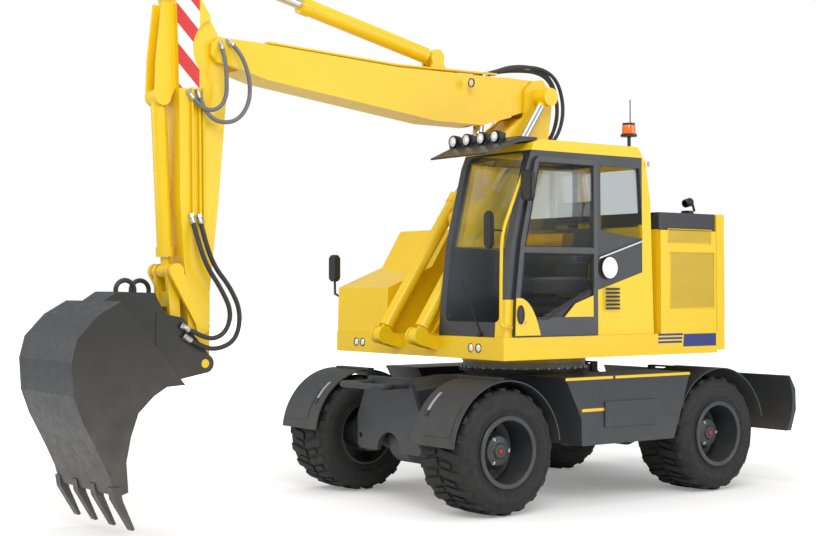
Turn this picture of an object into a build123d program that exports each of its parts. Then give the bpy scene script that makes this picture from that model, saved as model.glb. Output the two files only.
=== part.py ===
from build123d import *
import os
from math import atan2, cos, degrees, dist, radians, sin

# Wheeled excavator with a two-piece boom, an arm, a bucket on a quick coupler and a rear blade.
# Lengths are in millimetres and +X points to the front, where the bucket is.
# Points are measured from the swing axis at ground level, which stands at swing_x in the part's frame.

os.makedirs("parts", exist_ok=True)

# Placing
swing_x = -1210.0
seat = 0.3
run = 0.3

# Wheels and tyres
tyre_r = 535.0
tyre_w = 590.0
tyre_bore = 288.0
lug_h = 24.0
lug_n = 20
wheel_y = 980.0
front_x = 1315.0
rear_x = -1285.0
rim_wall = 15.0
flange_r = 305.0
hub_r = 150.0
hub_face = -60.0
hub_nose = 175.0
spindle_r = 80.0

# Axles and steering
axle_z = tyre_r
kingpin_y = 660.0
kingpin_r = 34.0
axle_tube_r = 95.0
diff_r = 205.0
boss_r = 72.0
boss_h = 230.0
knuckle_r = 135.0
fork_t = 36.0

# Chassis
frame_w = 760.0
frame_low = 520.0
frame_arch = 765.0
frame_top = 1075.0
frame_end = 1560.0
plate_t = 40.0
eye_y = 422.0
eye_z = 560.0
eye_hole = 24.0
turret_r = 560.0
race_z = 1115.0
race_top = 1205.0
race_r = 575.0

# Fenders and step boxes
fender_r = 580.0
fender_t = 12.0
fender_in = 705.0
rear_fender_x = -1330.0
rear_fender_r = 598.0
fender_out = 1258.0
step_in = 760.0
step_out = 1272.0
step_low = 532.0
step_top = 1122.0
sheet = 8.0

# Blade
blade_pivot = (-1560.0, 620.0)
blade_w = 2500.0
blade_foot = (-1490.0, 985.0)
blade_eye = (-2190.0, 800.0)
blade_ram_y = 300.0
blade_arm_y = 380.0

# Upper structure
deck_low = 1285.0
deck_top = 1475.0
deck_y = 1245.0
deck_front = 1315.0
tail_r = 1880.0
weight_x = -1300.0
cover_top = 2420.0
hood_top = 2575.0
door_gap = 6.0

# Cab
cab_in = 362.0
cab_out = 1225.0
cab_wall = 45.0
cab_top = 3150.0
glass_t = 6.0

# Boom pins, cylinder pins and linkage pins, as (x, z)
foot_pin = (600.0, 1750.0)
knee_pin = (-50.0, 3680.0)
lift_foot = (1485.0, 1469.0)
lift_y = 262.0
adjust_foot = (660.0, 2500.0)
adjust_pin = (540.0, 3500.0)
arm_pin = (3395.0, 3800.0)
arm_ram_foot = (1100.0, 3975.0)
arm_ram_pin = (3860.0, 4600.0)
bucket_ram_foot = (3890.0, 3404.0)
rocker_pin = (3580.0, 1585.0)
link_pin = (3815.0, 2020.0)
coupler_pin = (3790.0, 1600.0)
tip_pin = (3560.0, 1290.0)

# Boom and bucket widths
base_w = 360.0
boom_w = 330.0
knee_w = 290.0
arm_w = 300.0
arm_root_w = 230.0
boom_tip_w = 330.0
ear_t = 42.0
bucket_w = 970.0
bucket_wall = 22.0

# Datum planes through the swing axis: ground, the machine's centre side and its cross plane
ground = Plane(origin=(swing_x, 0, 0))
side = Plane(origin=(swing_x, 0, 0), x_dir=(1, 0, 0), z_dir=(0, -1, 0))
cross = Plane(origin=(swing_x, 0, 0), x_dir=(0, 1, 0), z_dir=(1, 0, 0))


def outline(points, mode=Mode.ADD):
    """Closed face through the points, in the active sketch."""
    Polygon(*points, align=None, mode=mode)


def ram_plane(foot, eye, y):
    """Plane at a cylinder's foot pin with its normal towards the rod's eye."""
    return Plane(origin=(swing_x + foot[0], y, foot[1]), x_dir=(0, 1, 0),
                 z_dir=(eye[0] - foot[0], 0, eye[1] - foot[1]))


def ram_barrel(foot, eye, y, length, r, rod_r, eye_r, eye_w, hole_r, bore_from):
    """Cylinder barrel with its foot eye, gland ring and a bore for the rod."""
    with BuildPart(ram_plane(foot, eye, y)) as barrel:
        Cylinder(0.46 * eye_w, length - eye_r, align=(Align.CENTER, Align.CENTER, Align.MIN))
        with Locations((0, 0, eye_r + 15)):
            Cylinder(r, length - eye_r - 15, align=(Align.CENTER, Align.CENTER, Align.MIN))
        with Locations((0, 0, length - 0.06 * length)):
            Cylinder(r + 9, 0.06 * length, align=(Align.CENTER, Align.CENTER, Align.MIN))
        Cylinder(eye_r, eye_w, rotation=(0, 90, 0))
        with Locations((0, 0, bore_from)):
            Cylinder(rod_r + run, length, align=(Align.CENTER, Align.CENTER, Align.MIN), mode=Mode.SUBTRACT)
        Cylinder(hole_r, 3 * eye_w, rotation=(0, 90, 0), mode=Mode.SUBTRACT)
    return barrel.part


def ram_rod(foot, eye, y, rod_from, rod_r, eye_r, eye_w):
    """Piston rod with an eye at its end; the pin is a part of the eye."""
    length = dist(foot, eye)
    with BuildPart(ram_plane(foot, eye, y)) as rod:
        with Locations((0, 0, rod_from)):
            Cylinder(rod_r, length - rod_from - eye_r / 2, align=(Align.CENTER, Align.CENTER, Align.MIN))
        with Locations((0, 0, length)):
            Cylinder(eye_r, eye_w, rotation=(0, 90, 0))
    return rod.part


# Tyre, drawn about its own axle with +Z outwards
with BuildPart() as lug:
    with BuildSketch(Plane(origin=(tyre_r - lug_h - 40, 0, 0), x_dir=(0, 1, 0), z_dir=(1, 0, 0))):
        outline([(-42, 10), (30, 10), (95, 0.49 * tyre_w), (30, 0.49 * tyre_w)])
    extrude(amount=lug_h + 60)
with BuildPart() as tyre_blank:
    with PolarLocations(0, lug_n):
        add(lug.part)
    with PolarLocations(0, lug_n, start_angle=180 / lug_n):
        add(lug.part, rotation=(180, 0, 0))
    with BuildSketch(Plane.XZ):
        outline([(tyre_r - 130, -0.49 * tyre_w), (tyre_r - 30, -0.485 * tyre_w), (tyre_r, -0.37 * tyre_w),
                 (tyre_r, 0.37 * tyre_w), (tyre_r - 30, 0.485 * tyre_w), (tyre_r - 130, 0.49 * tyre_w)])
    revolve(axis=Axis.Z, mode=Mode.INTERSECT)
    with BuildSketch(Plane.XZ):
        with BuildLine():
            bead = Polyline((flange_r + 4, 0.42 * tyre_w), (tyre_bore, 0.42 * tyre_w), (tyre_bore, -0.42 * tyre_w),
                            (flange_r + 4, -0.42 * tyre_w))
            low = ThreePointArc(bead @ 1, (405, -0.5 * tyre_w), (tyre_r - lug_h - 25, -0.45 * tyre_w))
            tread = ThreePointArc(low @ 1, (tyre_r - lug_h, 0), (tyre_r - lug_h - 25, 0.45 * tyre_w))
            ThreePointArc(tread @ 1, (405, 0.5 * tyre_w), bead @ 0)
        make_face()
    revolve(axis=Axis.Z)

# Rim with a deep dish and the planetary hub, blind-bored for its spindle
with BuildPart() as rim_blank:
    half = 0.42 * tyre_w
    with BuildSketch(Plane.XZ):
        outline([(0, hub_face), (hub_r, hub_face), (tyre_bore - rim_wall - 30, hub_face + 25),
                 (tyre_bore - rim_wall, hub_face - 40), (tyre_bore - rim_wall, -half - 15),
                 (flange_r, -half - 15), (flange_r, -half - seat), (tyre_bore - seat, -half - seat),
                 (tyre_bore - seat, half + seat), (flange_r, half + seat), (flange_r, half + 15),
                 (tyre_bore - rim_wall, half + 15), (tyre_bore - rim_wall, hub_face + 60),
                 (tyre_bore - rim_wall - 30, hub_face + 45), (hub_r + 12, hub_face + 22),
                 (hub_r, hub_nose - 70), (hub_r - 28, hub_nose - 20), (70, hub_nose - 8), (62, hub_nose), (0, hub_nose)])
    revolve(axis=Axis.Z)
    with Locations((0, 0, hub_face)):
        Cylinder(spindle_r, 60, align=(Align.CENTER, Align.CENTER, Align.MIN), mode=Mode.SUBTRACT)
    with PolarLocations(hub_r + 45, 10):
        with Locations((0, 0, hub_face + 20)):
            Cylinder(14, 22, align=(Align.CENTER, Align.CENTER, Align.MIN))

for end, axle_x in (("front", front_x), ("rear", rear_x)):
    for hand, sign in (("left", 1), ("right", -1)):
        wheel = Plane(origin=(swing_x + axle_x, sign * wheel_y, tyre_r), x_dir=(1, 0, 0), z_dir=(0, sign, 0))
        with BuildPart() as tyre:
            with Locations(wheel):
                add(tyre_blank.part)
        tyre.part.label = f"tyre_{end}_{hand}"
        export_step(tyre.part, f"parts/tyre_{end}_{hand}.step")
        with BuildPart() as rim:
            with Locations(wheel):
                add(rim_blank.part)
        rim.part.label = f"rim_{end}_{hand}"
        export_step(rim.part, f"parts/rim_{end}_{hand}.step")

# Chassis frame with the arches over the axles and the turret under the slew ring
with BuildPart(ground) as chassis_frame:
    with BuildSketch(side):
        outline([(-frame_end, frame_arch), (-1010, frame_arch), (-900, frame_low), (900, frame_low),
                 (1010, frame_arch), (frame_end, frame_arch), (frame_end, 1000), (760, frame_top),
                 (-760, frame_top), (-1400, 1020), (-1410, 880), (-frame_end, 850)])
    extrude(amount=frame_w / 2, both=True)
    with Locations((0, 0, frame_top - 90)):
        Cylinder(turret_r, race_z - frame_top + 90 - seat, align=(Align.CENTER, Align.CENTER, Align.MIN))
    for y in (-blade_ram_y, blade_ram_y):
        with Locations((blade_foot[0] + 30, y, blade_foot[1])):
            Box(130, 130, 90)
            Box(150, 56, 150, mode=Mode.SUBTRACT)
        with Locations((blade_foot[0], y, blade_foot[1])):
            Cylinder(25, 130, rotation=(90, 0, 0))
    with Locations((blade_pivot[0], 0, blade_pivot[1] + 70)):
        Box(120, 2 * (blade_arm_y - 20 - seat), 260)
    with Locations((blade_pivot[0], 0, blade_pivot[1])):
        Cylinder(38, 2 * (blade_arm_y + 20), rotation=(90, 0, 0))
chassis_frame.part.label = "chassis_frame"
export_step(chassis_frame.part, "parts/chassis_frame.step")

# Front plate with the hitch cut-out
with BuildPart() as front_plate:
    with BuildSketch(cross.offset(frame_end + seat)):
        outline([(-430, 445), (-470, 480), (-470, 740), (-300, 1100), (300, 1100), (470, 740), (470, 480), (430, 445)])
        with Locations((0, 445)):
            Circle(170, mode=Mode.SUBTRACT)
        with Locations((-eye_y, eye_z), (eye_y, eye_z)):
            Circle(eye_hole, mode=Mode.SUBTRACT)
    extrude(amount=plate_t)
front_plate.part.label = "front_plate"
export_step(front_plate.part, "parts/front_plate.step")

# Tube guard in front of the plate
with BuildPart() as front_guard:
    with BuildLine(Plane(origin=(swing_x, 0, 1040))) as rail:
        FilletPolyline((frame_end + plate_t + 2 * seat, -250), (1760, -250), (1930, -430), (1930, 430),
                       (1760, 250), (frame_end + plate_t + 2 * seat, 250), radius=90)
    with BuildSketch(cross.offset(frame_end + plate_t + 2 * seat)):
        with Locations((-250, 1040)):
            Circle(28)
    sweep(path=rail.line)
front_guard.part.label = "front_guard"
export_step(front_guard.part, "parts/front_guard.step")

# Steered front axle: housing, oscillation pad and kingpin bosses
with BuildPart(ground) as front_axle:
    with BuildSketch(Plane(origin=(swing_x + front_x, 0, axle_z), x_dir=(0, 1, 0), z_dir=(1, 0, 0))):
        with BuildLine():
            Polyline((-kingpin_y, 0), (-kingpin_y, axle_tube_r - 15), (-420, axle_tube_r), (-230, 130), (-110, diff_r),
                     (110, diff_r), (230, 130), (420, axle_tube_r), (kingpin_y, axle_tube_r - 15), (kingpin_y, 0),
                     close=True)
        make_face()
    revolve(axis=Axis((swing_x + front_x, 0, axle_z), (0, 1, 0)))
    with Locations((front_x, kingpin_y, axle_z), (front_x, -kingpin_y, axle_z)):
        Cylinder(boss_r, boss_h)
        Cylinder(kingpin_r, boss_h + 2 * fork_t - 12)
    with Locations((front_x, 0, frame_arch - seat)):
        Box(200, 300, 160, align=(Align.CENTER, Align.CENTER, Align.MAX))
front_axle.part.label = "front_axle"
export_step(front_axle.part, "parts/front_axle.step")

# Steering knuckles: forked housing with the wheel's spindle
for hand, sign in (("left", 1), ("right", -1)):
    hub_in = wheel_y + hub_face
    with BuildPart(ground) as knuckle:
        with BuildSketch(Plane(origin=(swing_x + front_x, sign * (kingpin_y + 95), axle_z), x_dir=(1, 0, 0), z_dir=(0, sign, 0))):
            Circle(knuckle_r)
        extrude(amount=hub_in - kingpin_y - 95 - seat)
        with BuildSketch(Plane(origin=(swing_x + front_x, sign * (hub_in - 60), axle_z), x_dir=(1, 0, 0), z_dir=(0, sign, 0))):
            Circle(spindle_r - run)
        extrude(amount=115)
        for z in (1, -1):
            fork = Plane(origin=(swing_x + front_x, 0, axle_z + z * (boss_h / 2 + seat)), x_dir=(1, 0, 0), z_dir=(0, 0, z))
            with BuildSketch(fork):
                with Locations((0, z * sign * kingpin_y)):
                    Circle(boss_r)
                with Locations((0, z * sign * (kingpin_y + 80))):
                    Rectangle(2 * boss_r, 160)
            extrude(amount=fork_t)
        with Locations((front_x, sign * (kingpin_y + 125), axle_z)):
            Box(2 * boss_r, 60, boss_h + 2 * fork_t)
        with Locations((front_x, sign * kingpin_y, axle_z)):
            Cylinder(kingpin_r + run, 400, mode=Mode.SUBTRACT)
        with Locations((front_x, sign * (kingpin_y + 5), axle_z + boss_h / 2 + fork_t - 4)):
            Box(70, 20, fender_r - boss_h / 2 - fork_t + fender_t + 14, align=(Align.CENTER, Align.CENTER, Align.MIN))
        with Locations((front_x, sign * (kingpin_y - 5), axle_z + fender_r + fender_t + seat)):
            Box(70, 520, 16, align=(Align.CENTER, Align.MIN if sign > 0 else Align.MAX, Align.MIN))
    knuckle.part.label = f"knuckle_{hand}"
    export_step(knuckle.part, f"parts/knuckle_{hand}.step")

    # Front fender, carried by the knuckle's arm
    with BuildPart() as fender:
        with BuildSketch(side.offset(-sign * (fender_in + fender_out) / 2)):
            with Locations((front_x, axle_z)):
                Circle(fender_r + fender_t)
                Circle(fender_r, mode=Mode.SUBTRACT)
            with Locations((front_x, axle_z + 62)):
                Rectangle(3 * fender_r, 3 * fender_r, align=(Align.CENTER, Align.MAX), mode=Mode.SUBTRACT)
        extrude(amount=(fender_out - fender_in) / 2, both=True)
    fender.part.label = f"fender_front_{hand}"
    export_step(fender.part, f"parts/fender_front_{hand}.step")

# Rear axle with spindles
with BuildPart(ground) as rear_axle:
    with BuildSketch(Plane(origin=(swing_x + rear_x, 0, axle_z), x_dir=(0, 1, 0), z_dir=(1, 0, 0))):
        with BuildLine():
            hub_in = wheel_y + hub_face - seat
            Polyline((-hub_in, 0), (-hub_in, 130), (-730, 130), (-680, 95), (-300, 110), (-110, diff_r), (110, diff_r),
                     (300, 110), (680, 95), (730, 130), (hub_in, 130), (hub_in, 0), close=True)
        make_face()
    revolve(axis=Axis((swing_x + rear_x, 0, axle_z), (0, 1, 0)))
    with Locations((rear_x, 0, axle_z)):
        Cylinder(spindle_r - run, 2 * (wheel_y + hub_face + 55), rotation=(90, 0, 0))
    with Locations((rear_x, 0, frame_arch - seat)):
        Box(240, 620, 200, align=(Align.CENTER, Align.CENTER, Align.MAX))
rear_axle.part.label = "rear_axle"
export_step(rear_axle.part, "parts/rear_axle.step")

# Rear fenders on arms from the frame
with BuildPart(ground) as rear_fenders:
    for sign in (1, -1):
        with BuildSketch(side.offset(-sign * (fender_in + fender_out) / 2)):
            with Locations((rear_fender_x, axle_z)):
                Circle(rear_fender_r + fender_t)
                Circle(rear_fender_r, mode=Mode.SUBTRACT)
            with Locations((rear_fender_x, axle_z + 130)):
                Rectangle(3 * fender_r, 3 * fender_r, align=(Align.CENTER, Align.MAX), mode=Mode.SUBTRACT)
        extrude(amount=(fender_out - fender_in) / 2, both=True)
        inner = Align.MIN if sign > 0 else Align.MAX
        with Locations((rear_fender_x, sign * (frame_w / 2 + seat), axle_z + rear_fender_r + 4)):
            Box(80, fender_out - frame_w / 2 - 200, 14, align=(Align.CENTER, inner, Align.MAX))
            Box(80, 30, 220, align=(Align.CENTER, inner, Align.MAX))
rear_fenders.part.label = "rear_fenders"
export_step(rear_fenders.part, "parts/rear_fenders.step")

# Step boxes between the wheels, the left one hollow for its tool locker
with BuildPart() as step_boxes:
    for sign in (1, -1):
        with BuildSketch(side.offset(-sign * (step_in + step_out) / 2)):
            outline([(-672, step_low), (485, step_low), (490, 770), (680, step_top), (-893, step_top)])
        extrude(amount=(step_out - step_in) / 2, both=True)
    with Locations((swing_x - 105, step_out - 200, 790)):
        Box(600, 500, 180, mode=Mode.SUBTRACT)
    for sign in (1, -1):
        with Locations((swing_x - 100, sign * (frame_w / 2 + seat), 900)):
            Box(700, step_in - frame_w / 2, 120, align=(Align.CENTER, Align.MIN if sign > 0 else Align.MAX, Align.CENTER))
step_boxes.part.label = "step_boxes"
export_step(step_boxes.part, "parts/step_boxes.step")

# Locker door, hinged at its front edge
with BuildPart() as locker_door:
    with Locations((swing_x - 105, step_out + seat, 790)):
        Box(640, 14, 220, align=(Align.CENTER, Align.MIN, Align.CENTER))
locker_door.part.label = "locker_door"
export_step(locker_door.part, "parts/locker_door.step")

# Lower race of the slew ring, bolted to the turret
with BuildPart(ground) as slew_ring:
    with Locations((0, 0, race_z)):
        Cylinder(race_r + 35, 30, align=(Align.CENTER, Align.CENTER, Align.MIN))
        Cylinder(race_r, race_top - race_z, align=(Align.CENTER, Align.CENTER, Align.MIN))
        Cylinder(race_r - 90, 3 * race_top, mode=Mode.SUBTRACT)
    with PolarLocations(race_r + 18, 36):
        with Locations((0, 0, race_z + 30)):
            Cylinder(9, 14, align=(Align.CENTER, Align.CENTER, Align.MIN))
slew_ring.part.label = "slew_ring"
export_step(slew_ring.part, "parts/slew_ring.step")

# Blade with its two arms
with BuildPart(ground) as blade:
    with BuildSketch(side):
        with BuildLine():
            back = ThreePointArc((-2300, 500), (-2395, 760), (-2335, 1030))
            Polyline(back @ 1, (-2360, 1035), (-2445, 900), (-2450, 700), (-2370, 500), back @ 0)
        make_face()
    extrude(amount=blade_w / 2, both=True)
    for y in (-blade_ram_y, blade_ram_y):
        with BuildSketch(side.offset(-y * blade_arm_y / blade_ram_y)):
            outline([(-2385, 560), (blade_pivot[0] - 30, blade_pivot[1] - 60), (blade_pivot[0] + 60, blade_pivot[1] - 30),
                     (blade_pivot[0] + 50, blade_pivot[1] + 60), (-2000, 740), (blade_eye[0] + 60, blade_eye[1] + 40),
                     (blade_eye[0] - 40, blade_eye[1] + 60), (-2390, 880)])
        extrude(amount=20, both=True)
    # bosses that the rods' eyes lie against
    for sign in (1, -1):
        with BuildSketch(side.offset(-sign * (blade_arm_y - 10))):
            with Locations(blade_eye):
                Circle(46)
        extrude(amount=sign * (blade_arm_y - 10 - blade_ram_y - 27 - seat))
    with Locations((blade_pivot[0], 0, blade_pivot[1])):
        Cylinder(38 + run, 900, rotation=(90, 0, 0), mode=Mode.SUBTRACT)
blade.part.label = "blade"
export_step(blade.part, "parts/blade.step")

# Blade cylinders, beside the plain faces of the blade's arms
with BuildPart() as blade_cylinder_barrels:
    for y in (-blade_ram_y, blade_ram_y):
        add(ram_barrel(blade_foot, blade_eye, y, 600, 45, 27, 46, 54, 25 + run, 90))
blade_cylinder_barrels.part.label = "blade_cylinder_barrels"
export_step(blade_cylinder_barrels.part, "parts/blade_cylinder_barrels.step")
with BuildPart() as blade_cylinder_rods:
    for y in (-blade_ram_y, blade_ram_y):
        add(ram_rod(blade_foot, blade_eye, y, 130, 27, 42, 54))
blade_cylinder_rods.part.label = "blade_cylinder_rods"
export_step(blade_cylinder_rods.part, "parts/blade_cylinder_rods.step")

# Upper frame: deck, upper race, boom brackets and lift-cylinder lugs
with BuildPart(ground) as upper_frame:
    with BuildSketch(ground.offset(deck_low)):
        outline([(weight_x, -deck_y), (1290, -deck_y), (deck_front, -cab_in), (deck_front, 360), (1350, deck_y),
                 (weight_x, deck_y)])
    extrude(amount=deck_top - deck_low - seat)
    with Locations((0, 0, race_top + seat)):
        Cylinder(race_r + 10, deck_low - race_top, align=(Align.CENTER, Align.CENTER, Align.MIN))
        Cylinder(race_r - 150, deck_low - race_top - 30, align=(Align.CENTER, Align.CENTER, Align.MIN), mode=Mode.SUBTRACT)
    for sign in (1, -1):
        with BuildSketch(side.offset(-sign * (base_w / 2 + 5 + ear_t / 2))):
            outline([(250, deck_top - 20), (520, 1830), (600, 1860), (690, 1830), (950, deck_top - 20)])
        extrude(amount=ear_t / 2, both=True)
        for y in (-58, 58):
            with BuildSketch(side.offset(-(sign * lift_y + y))):
                with Locations(lift_foot):
                    Circle(78)
                outline([(1250, deck_low + 40), (1520, 1400), (1440, 1500), (1250, 1440)])
            extrude(amount=12, both=True)
    with Locations((foot_pin[0], 0, foot_pin[1])):
        Cylinder(50 + run, 700, rotation=(90, 0, 0), mode=Mode.SUBTRACT)
    with Locations((lift_foot[0], -lift_y, lift_foot[1]), (lift_foot[0], lift_y, lift_foot[1])):
        Cylinder(35, 140, rotation=(90, 0, 0))
upper_frame.part.label = "upper_frame"
export_step(upper_frame.part, "parts/upper_frame.step")

# Counterweight with the round tail
with BuildPart(ground) as counterweight:
    with Locations((0, 0, deck_low + 25)):
        Cylinder(tail_r, hood_top - deck_low - 25, align=(Align.CENTER, Align.CENTER, Align.MIN))
    with BuildSketch(ground.offset(deck_low)):
        outline([(-2000, -deck_y), (weight_x - seat, -deck_y), (weight_x - seat, deck_y), (-2000, deck_y)])
    extrude(amount=hood_top, mode=Mode.INTERSECT)
counterweight.part.label = "counterweight"
export_step(counterweight.part, "parts/counterweight.step")

# Engine and pump block under the hood
with BuildPart(ground) as engine:
    with Locations((-880, 0, deck_top)):
        Box(560, 1500, 750, align=(Align.CENTER, Align.CENTER, Align.MIN))
engine.part.label = "engine"
export_step(engine.part, "parts/engine.step")

# Rear housing walls: front bulkhead, right side and centre covers
with BuildPart(ground) as rear_housing:
    with Locations((-540, 0, deck_top)):
        Box(20, 2 * deck_y - 60, cover_top - deck_top, align=(Align.CENTER, Align.CENTER, Align.MIN))
    with Locations(((weight_x - 540) / 2, -deck_y + 17, deck_top)):
        Box(-540 - weight_x - 2 * seat, 34, cover_top - deck_top, align=(Align.CENTER, Align.CENTER, Align.MIN))
    with Locations((-385, -80, deck_top)):
        Box(290, 740, 850, align=(Align.CENTER, Align.CENTER, Align.MIN))
rear_housing.part.label = "rear_housing"
export_step(rear_housing.part, "parts/rear_housing.step")

# Engine hood, hinged at its front edge
with BuildPart(ground) as engine_hood:
    with Locations(((weight_x - 519) / 2, 0, cover_top + seat)):
        Box(-519 - weight_x - 4 * door_gap, 2 * deck_y - 20, hood_top - cover_top, align=(Align.CENTER, Align.CENTER, Align.MIN))
        Box(-525 - weight_x - 60, 2 * deck_y - 60, hood_top - cover_top - 12,
            align=(Align.CENTER, Align.CENTER, Align.MIN), mode=Mode.SUBTRACT)
engine_hood.part.label = "engine_hood"
export_step(engine_hood.part, "parts/engine_hood.step")

# Left side door of the engine bay
with BuildPart(ground) as side_door_left:
    with Locations(((weight_x - 535) / 2, deck_y, deck_top + seat)):
        Box(-535 - weight_x - 2 * door_gap, 26, cover_top - deck_top - door_gap, align=(Align.CENTER, Align.MAX, Align.MIN))
side_door_left.part.label = "side_door_left"
export_step(side_door_left.part, "parts/side_door_left.step")

# Right front box with its sloped steps
with BuildPart() as storage_right:
    with BuildSketch(side.offset((0.45 + 1.24) * 500)):
        outline([(1285, deck_top), (1270, 1890), (750, 2090), (520, 2450), (-525, 2450), (-525, deck_top)])
    extrude(amount=(1240 - 450) / 2, both=True)
storage_right.part.label = "storage_right"
export_step(storage_right.part, "parts/storage_right.step")

# Cab shell: side profile, hollowed, with its windows and door opening cut
cab_profile = [(-467, deck_top), (1322, deck_top), (1300, 1800), (1240, 2270), (1065, 2940), (985, 3120),
               (900, cab_top), (-275, cab_top), (-370, 3020), (-430, 2680)]
with BuildPart() as cab_frame:
    with BuildSketch(side.offset(-(cab_in + cab_out) / 2)):
        outline(cab_profile)
    extrude(amount=(cab_out - cab_in) / 2, both=True)
    with BuildSketch(side.offset(-(cab_in + cab_out) / 2)):
        outline(cab_profile)
        offset(amount=-cab_wall, mode=Mode.REPLACE)
    extrude(amount=(cab_out - cab_in) / 2 - cab_wall, both=True, mode=Mode.SUBTRACT)
    # door opening and side windows
    with BuildSketch(side.offset(-cab_out)):
        outline([(260, 1530), (1215, 1530), (1200, 1800), (1145, 2270), (980, 2960), (260, 2985)])
        outline([(200, 2390), (200, 2960), (-290, 2960), (-330, 2330)])
    extrude(amount=2 * cab_wall, both=True, mode=Mode.SUBTRACT)
    with BuildSketch(side.offset(-cab_in)):
        outline([(-300, 2250), (1150, 2250), (970, 2980), (-300, 2980)])
    extrude(amount=2 * cab_wall, both=True, mode=Mode.SUBTRACT)
    # front and rear windows
    with BuildSketch(cross.offset(700)):
        with Locations(((cab_in + cab_out) / 2, 2320)):
            RectangleRounded(cab_out - cab_in - 150, 1440, 60)
    extrude(amount=800, mode=Mode.SUBTRACT)
    with BuildSketch(cross.offset(-300)):
        with Locations(((cab_in + cab_out) / 2, 2700)):
            RectangleRounded(cab_out - cab_in - 170, 520, 50)
    extrude(amount=-400, mode=Mode.SUBTRACT)
cab_frame.part.label = "cab_frame"
export_step(cab_frame.part, "parts/cab_frame.step")

# Cab door frame, hinged at its rear edge
door_profile = [(266, 1482), (1240, 1482), (1225, 1800), (1165, 2270), (1000, 2960), (960, 3000), (266, 3000)]
with BuildPart() as cab_door:
    with BuildSketch(side.offset(-cab_out - seat)):
        outline(door_profile)
        with BuildLine():
            Polyline((320, 2240), (1115, 2240), (950, 2950), (320, 2950), close=True)
        make_face(mode=Mode.SUBTRACT)
        with BuildLine():
            Polyline((320, 1640), (1160, 1640), (1165, 1800), (1120, 2180), (320, 2180), close=True)
        make_face(mode=Mode.SUBTRACT)
    extrude(amount=-30)
cab_door.part.label = "cab_door"
export_step(cab_door.part, "parts/cab_door.step")

# Seat, seat base and consoles
with BuildPart(ground) as seat_unit:
    with Locations((250, 780, deck_top + cab_wall + seat)):
        Box(420, 460, 330, align=(Align.CENTER, Align.CENTER, Align.MIN))
    with Locations((270, 780, deck_top + cab_wall + 331)):
        Box(500, 500, 130, align=(Align.CENTER, Align.CENTER, Align.MIN))
    with BuildSketch(side.offset(-780)):
        outline([(20, 1880), (130, 1880), (10, 2700), (-90, 2690)])
    extrude(amount=240, both=True)
seat_unit.part.label = "operator_seat"
export_step(seat_unit.part, "parts/operator_seat.step")

# Base boom: tapered box that opens into two ears at the knee
with BuildPart() as base_boom:
    with BuildSketch(side):
        with BuildLine():
            Polyline((600, 1640), (500, 1680), (440, 1760), (190, 2330), (-120, 3050), (-210, 3600), (-190, 3760),
                     (-90, 3860), (30, 3840), (130, 3740), (140, 3500), (450, 3290), (430, 2900), (690, 2640), (770, 2560),
                     (760, 2440), (660, 2400), (620, 2350), (700, 1800), (690, 1690), close=True)
        make_face()
    extrude(amount=base_w / 2, both=True)
    # room for the second boom's root between the ears
    with BuildSketch(side):
        outline([(-400, 3420), (150, 3480), (500, 3200), (600, 4000), (-400, 4000)])
    extrude(amount=knee_w / 2 + 4, both=True, mode=Mode.SUBTRACT)
    # room for the adjusting cylinder's foot
    with BuildSketch(side):
        outline([(480, 2330), (900, 2330), (900, 3500), (380, 3500), (440, 2900)])
    extrude(amount=98, both=True, mode=Mode.SUBTRACT)
    with Locations((swing_x + foot_pin[0], 0, foot_pin[1])):
        Cylinder(50, base_w + 2 * ear_t + 10, rotation=(90, 0, 0))
    with Locations((swing_x + adjust_foot[0], 0, adjust_foot[1])):
        Cylinder(38, 2 * 110, rotation=(90, 0, 0))
    with Locations((swing_x + knee_pin[0], 0, knee_pin[1])):
        Cylinder(50, base_w, rotation=(90, 0, 0))
base_boom.part.label = "base_boom"
export_step(base_boom.part, "parts/base_boom.step")

# Lift cylinders, one at each side of the base boom
with BuildPart() as lift_cylinder_barrels:
    for y in (-lift_y, lift_y):
        add(ram_barrel(lift_foot, knee_pin, y, 1560, 65, 40, 70, 88, 35 + run, 110))
lift_cylinder_barrels.part.label = "lift_cylinder_barrels"
export_step(lift_cylinder_barrels.part, "parts/lift_cylinder_barrels.step")
with BuildPart() as lift_cylinder_rods:
    for y in (-lift_y, lift_y):
        add(ram_rod(lift_foot, knee_pin, y, 1110, 40, 85, 2 * (lift_y - base_w / 2 - seat - 1)))
lift_cylinder_rods.part.label = "lift_cylinder_rods"
export_step(lift_cylinder_rods.part, "parts/lift_cylinder_rods.step")

# Adjusting cylinder between base boom and second boom
with BuildPart() as adjust_cylinder_barrel:
    add(ram_barrel(adjust_foot, adjust_pin, 0, 800, 80, 50, 74, 180, 38 + run, 100))
adjust_cylinder_barrel.part.label = "adjust_cylinder_barrel"
export_step(adjust_cylinder_barrel.part, "parts/adjust_cylinder_barrel.step")
with BuildPart() as adjust_cylinder_rod:
    add(ram_rod(adjust_foot, adjust_pin, 0, 165, 50, 70, 130))
adjust_cylinder_rod.part.label = "adjust_cylinder_rod"
export_step(adjust_cylinder_rod.part, "parts/adjust_cylinder_rod.step")

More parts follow.
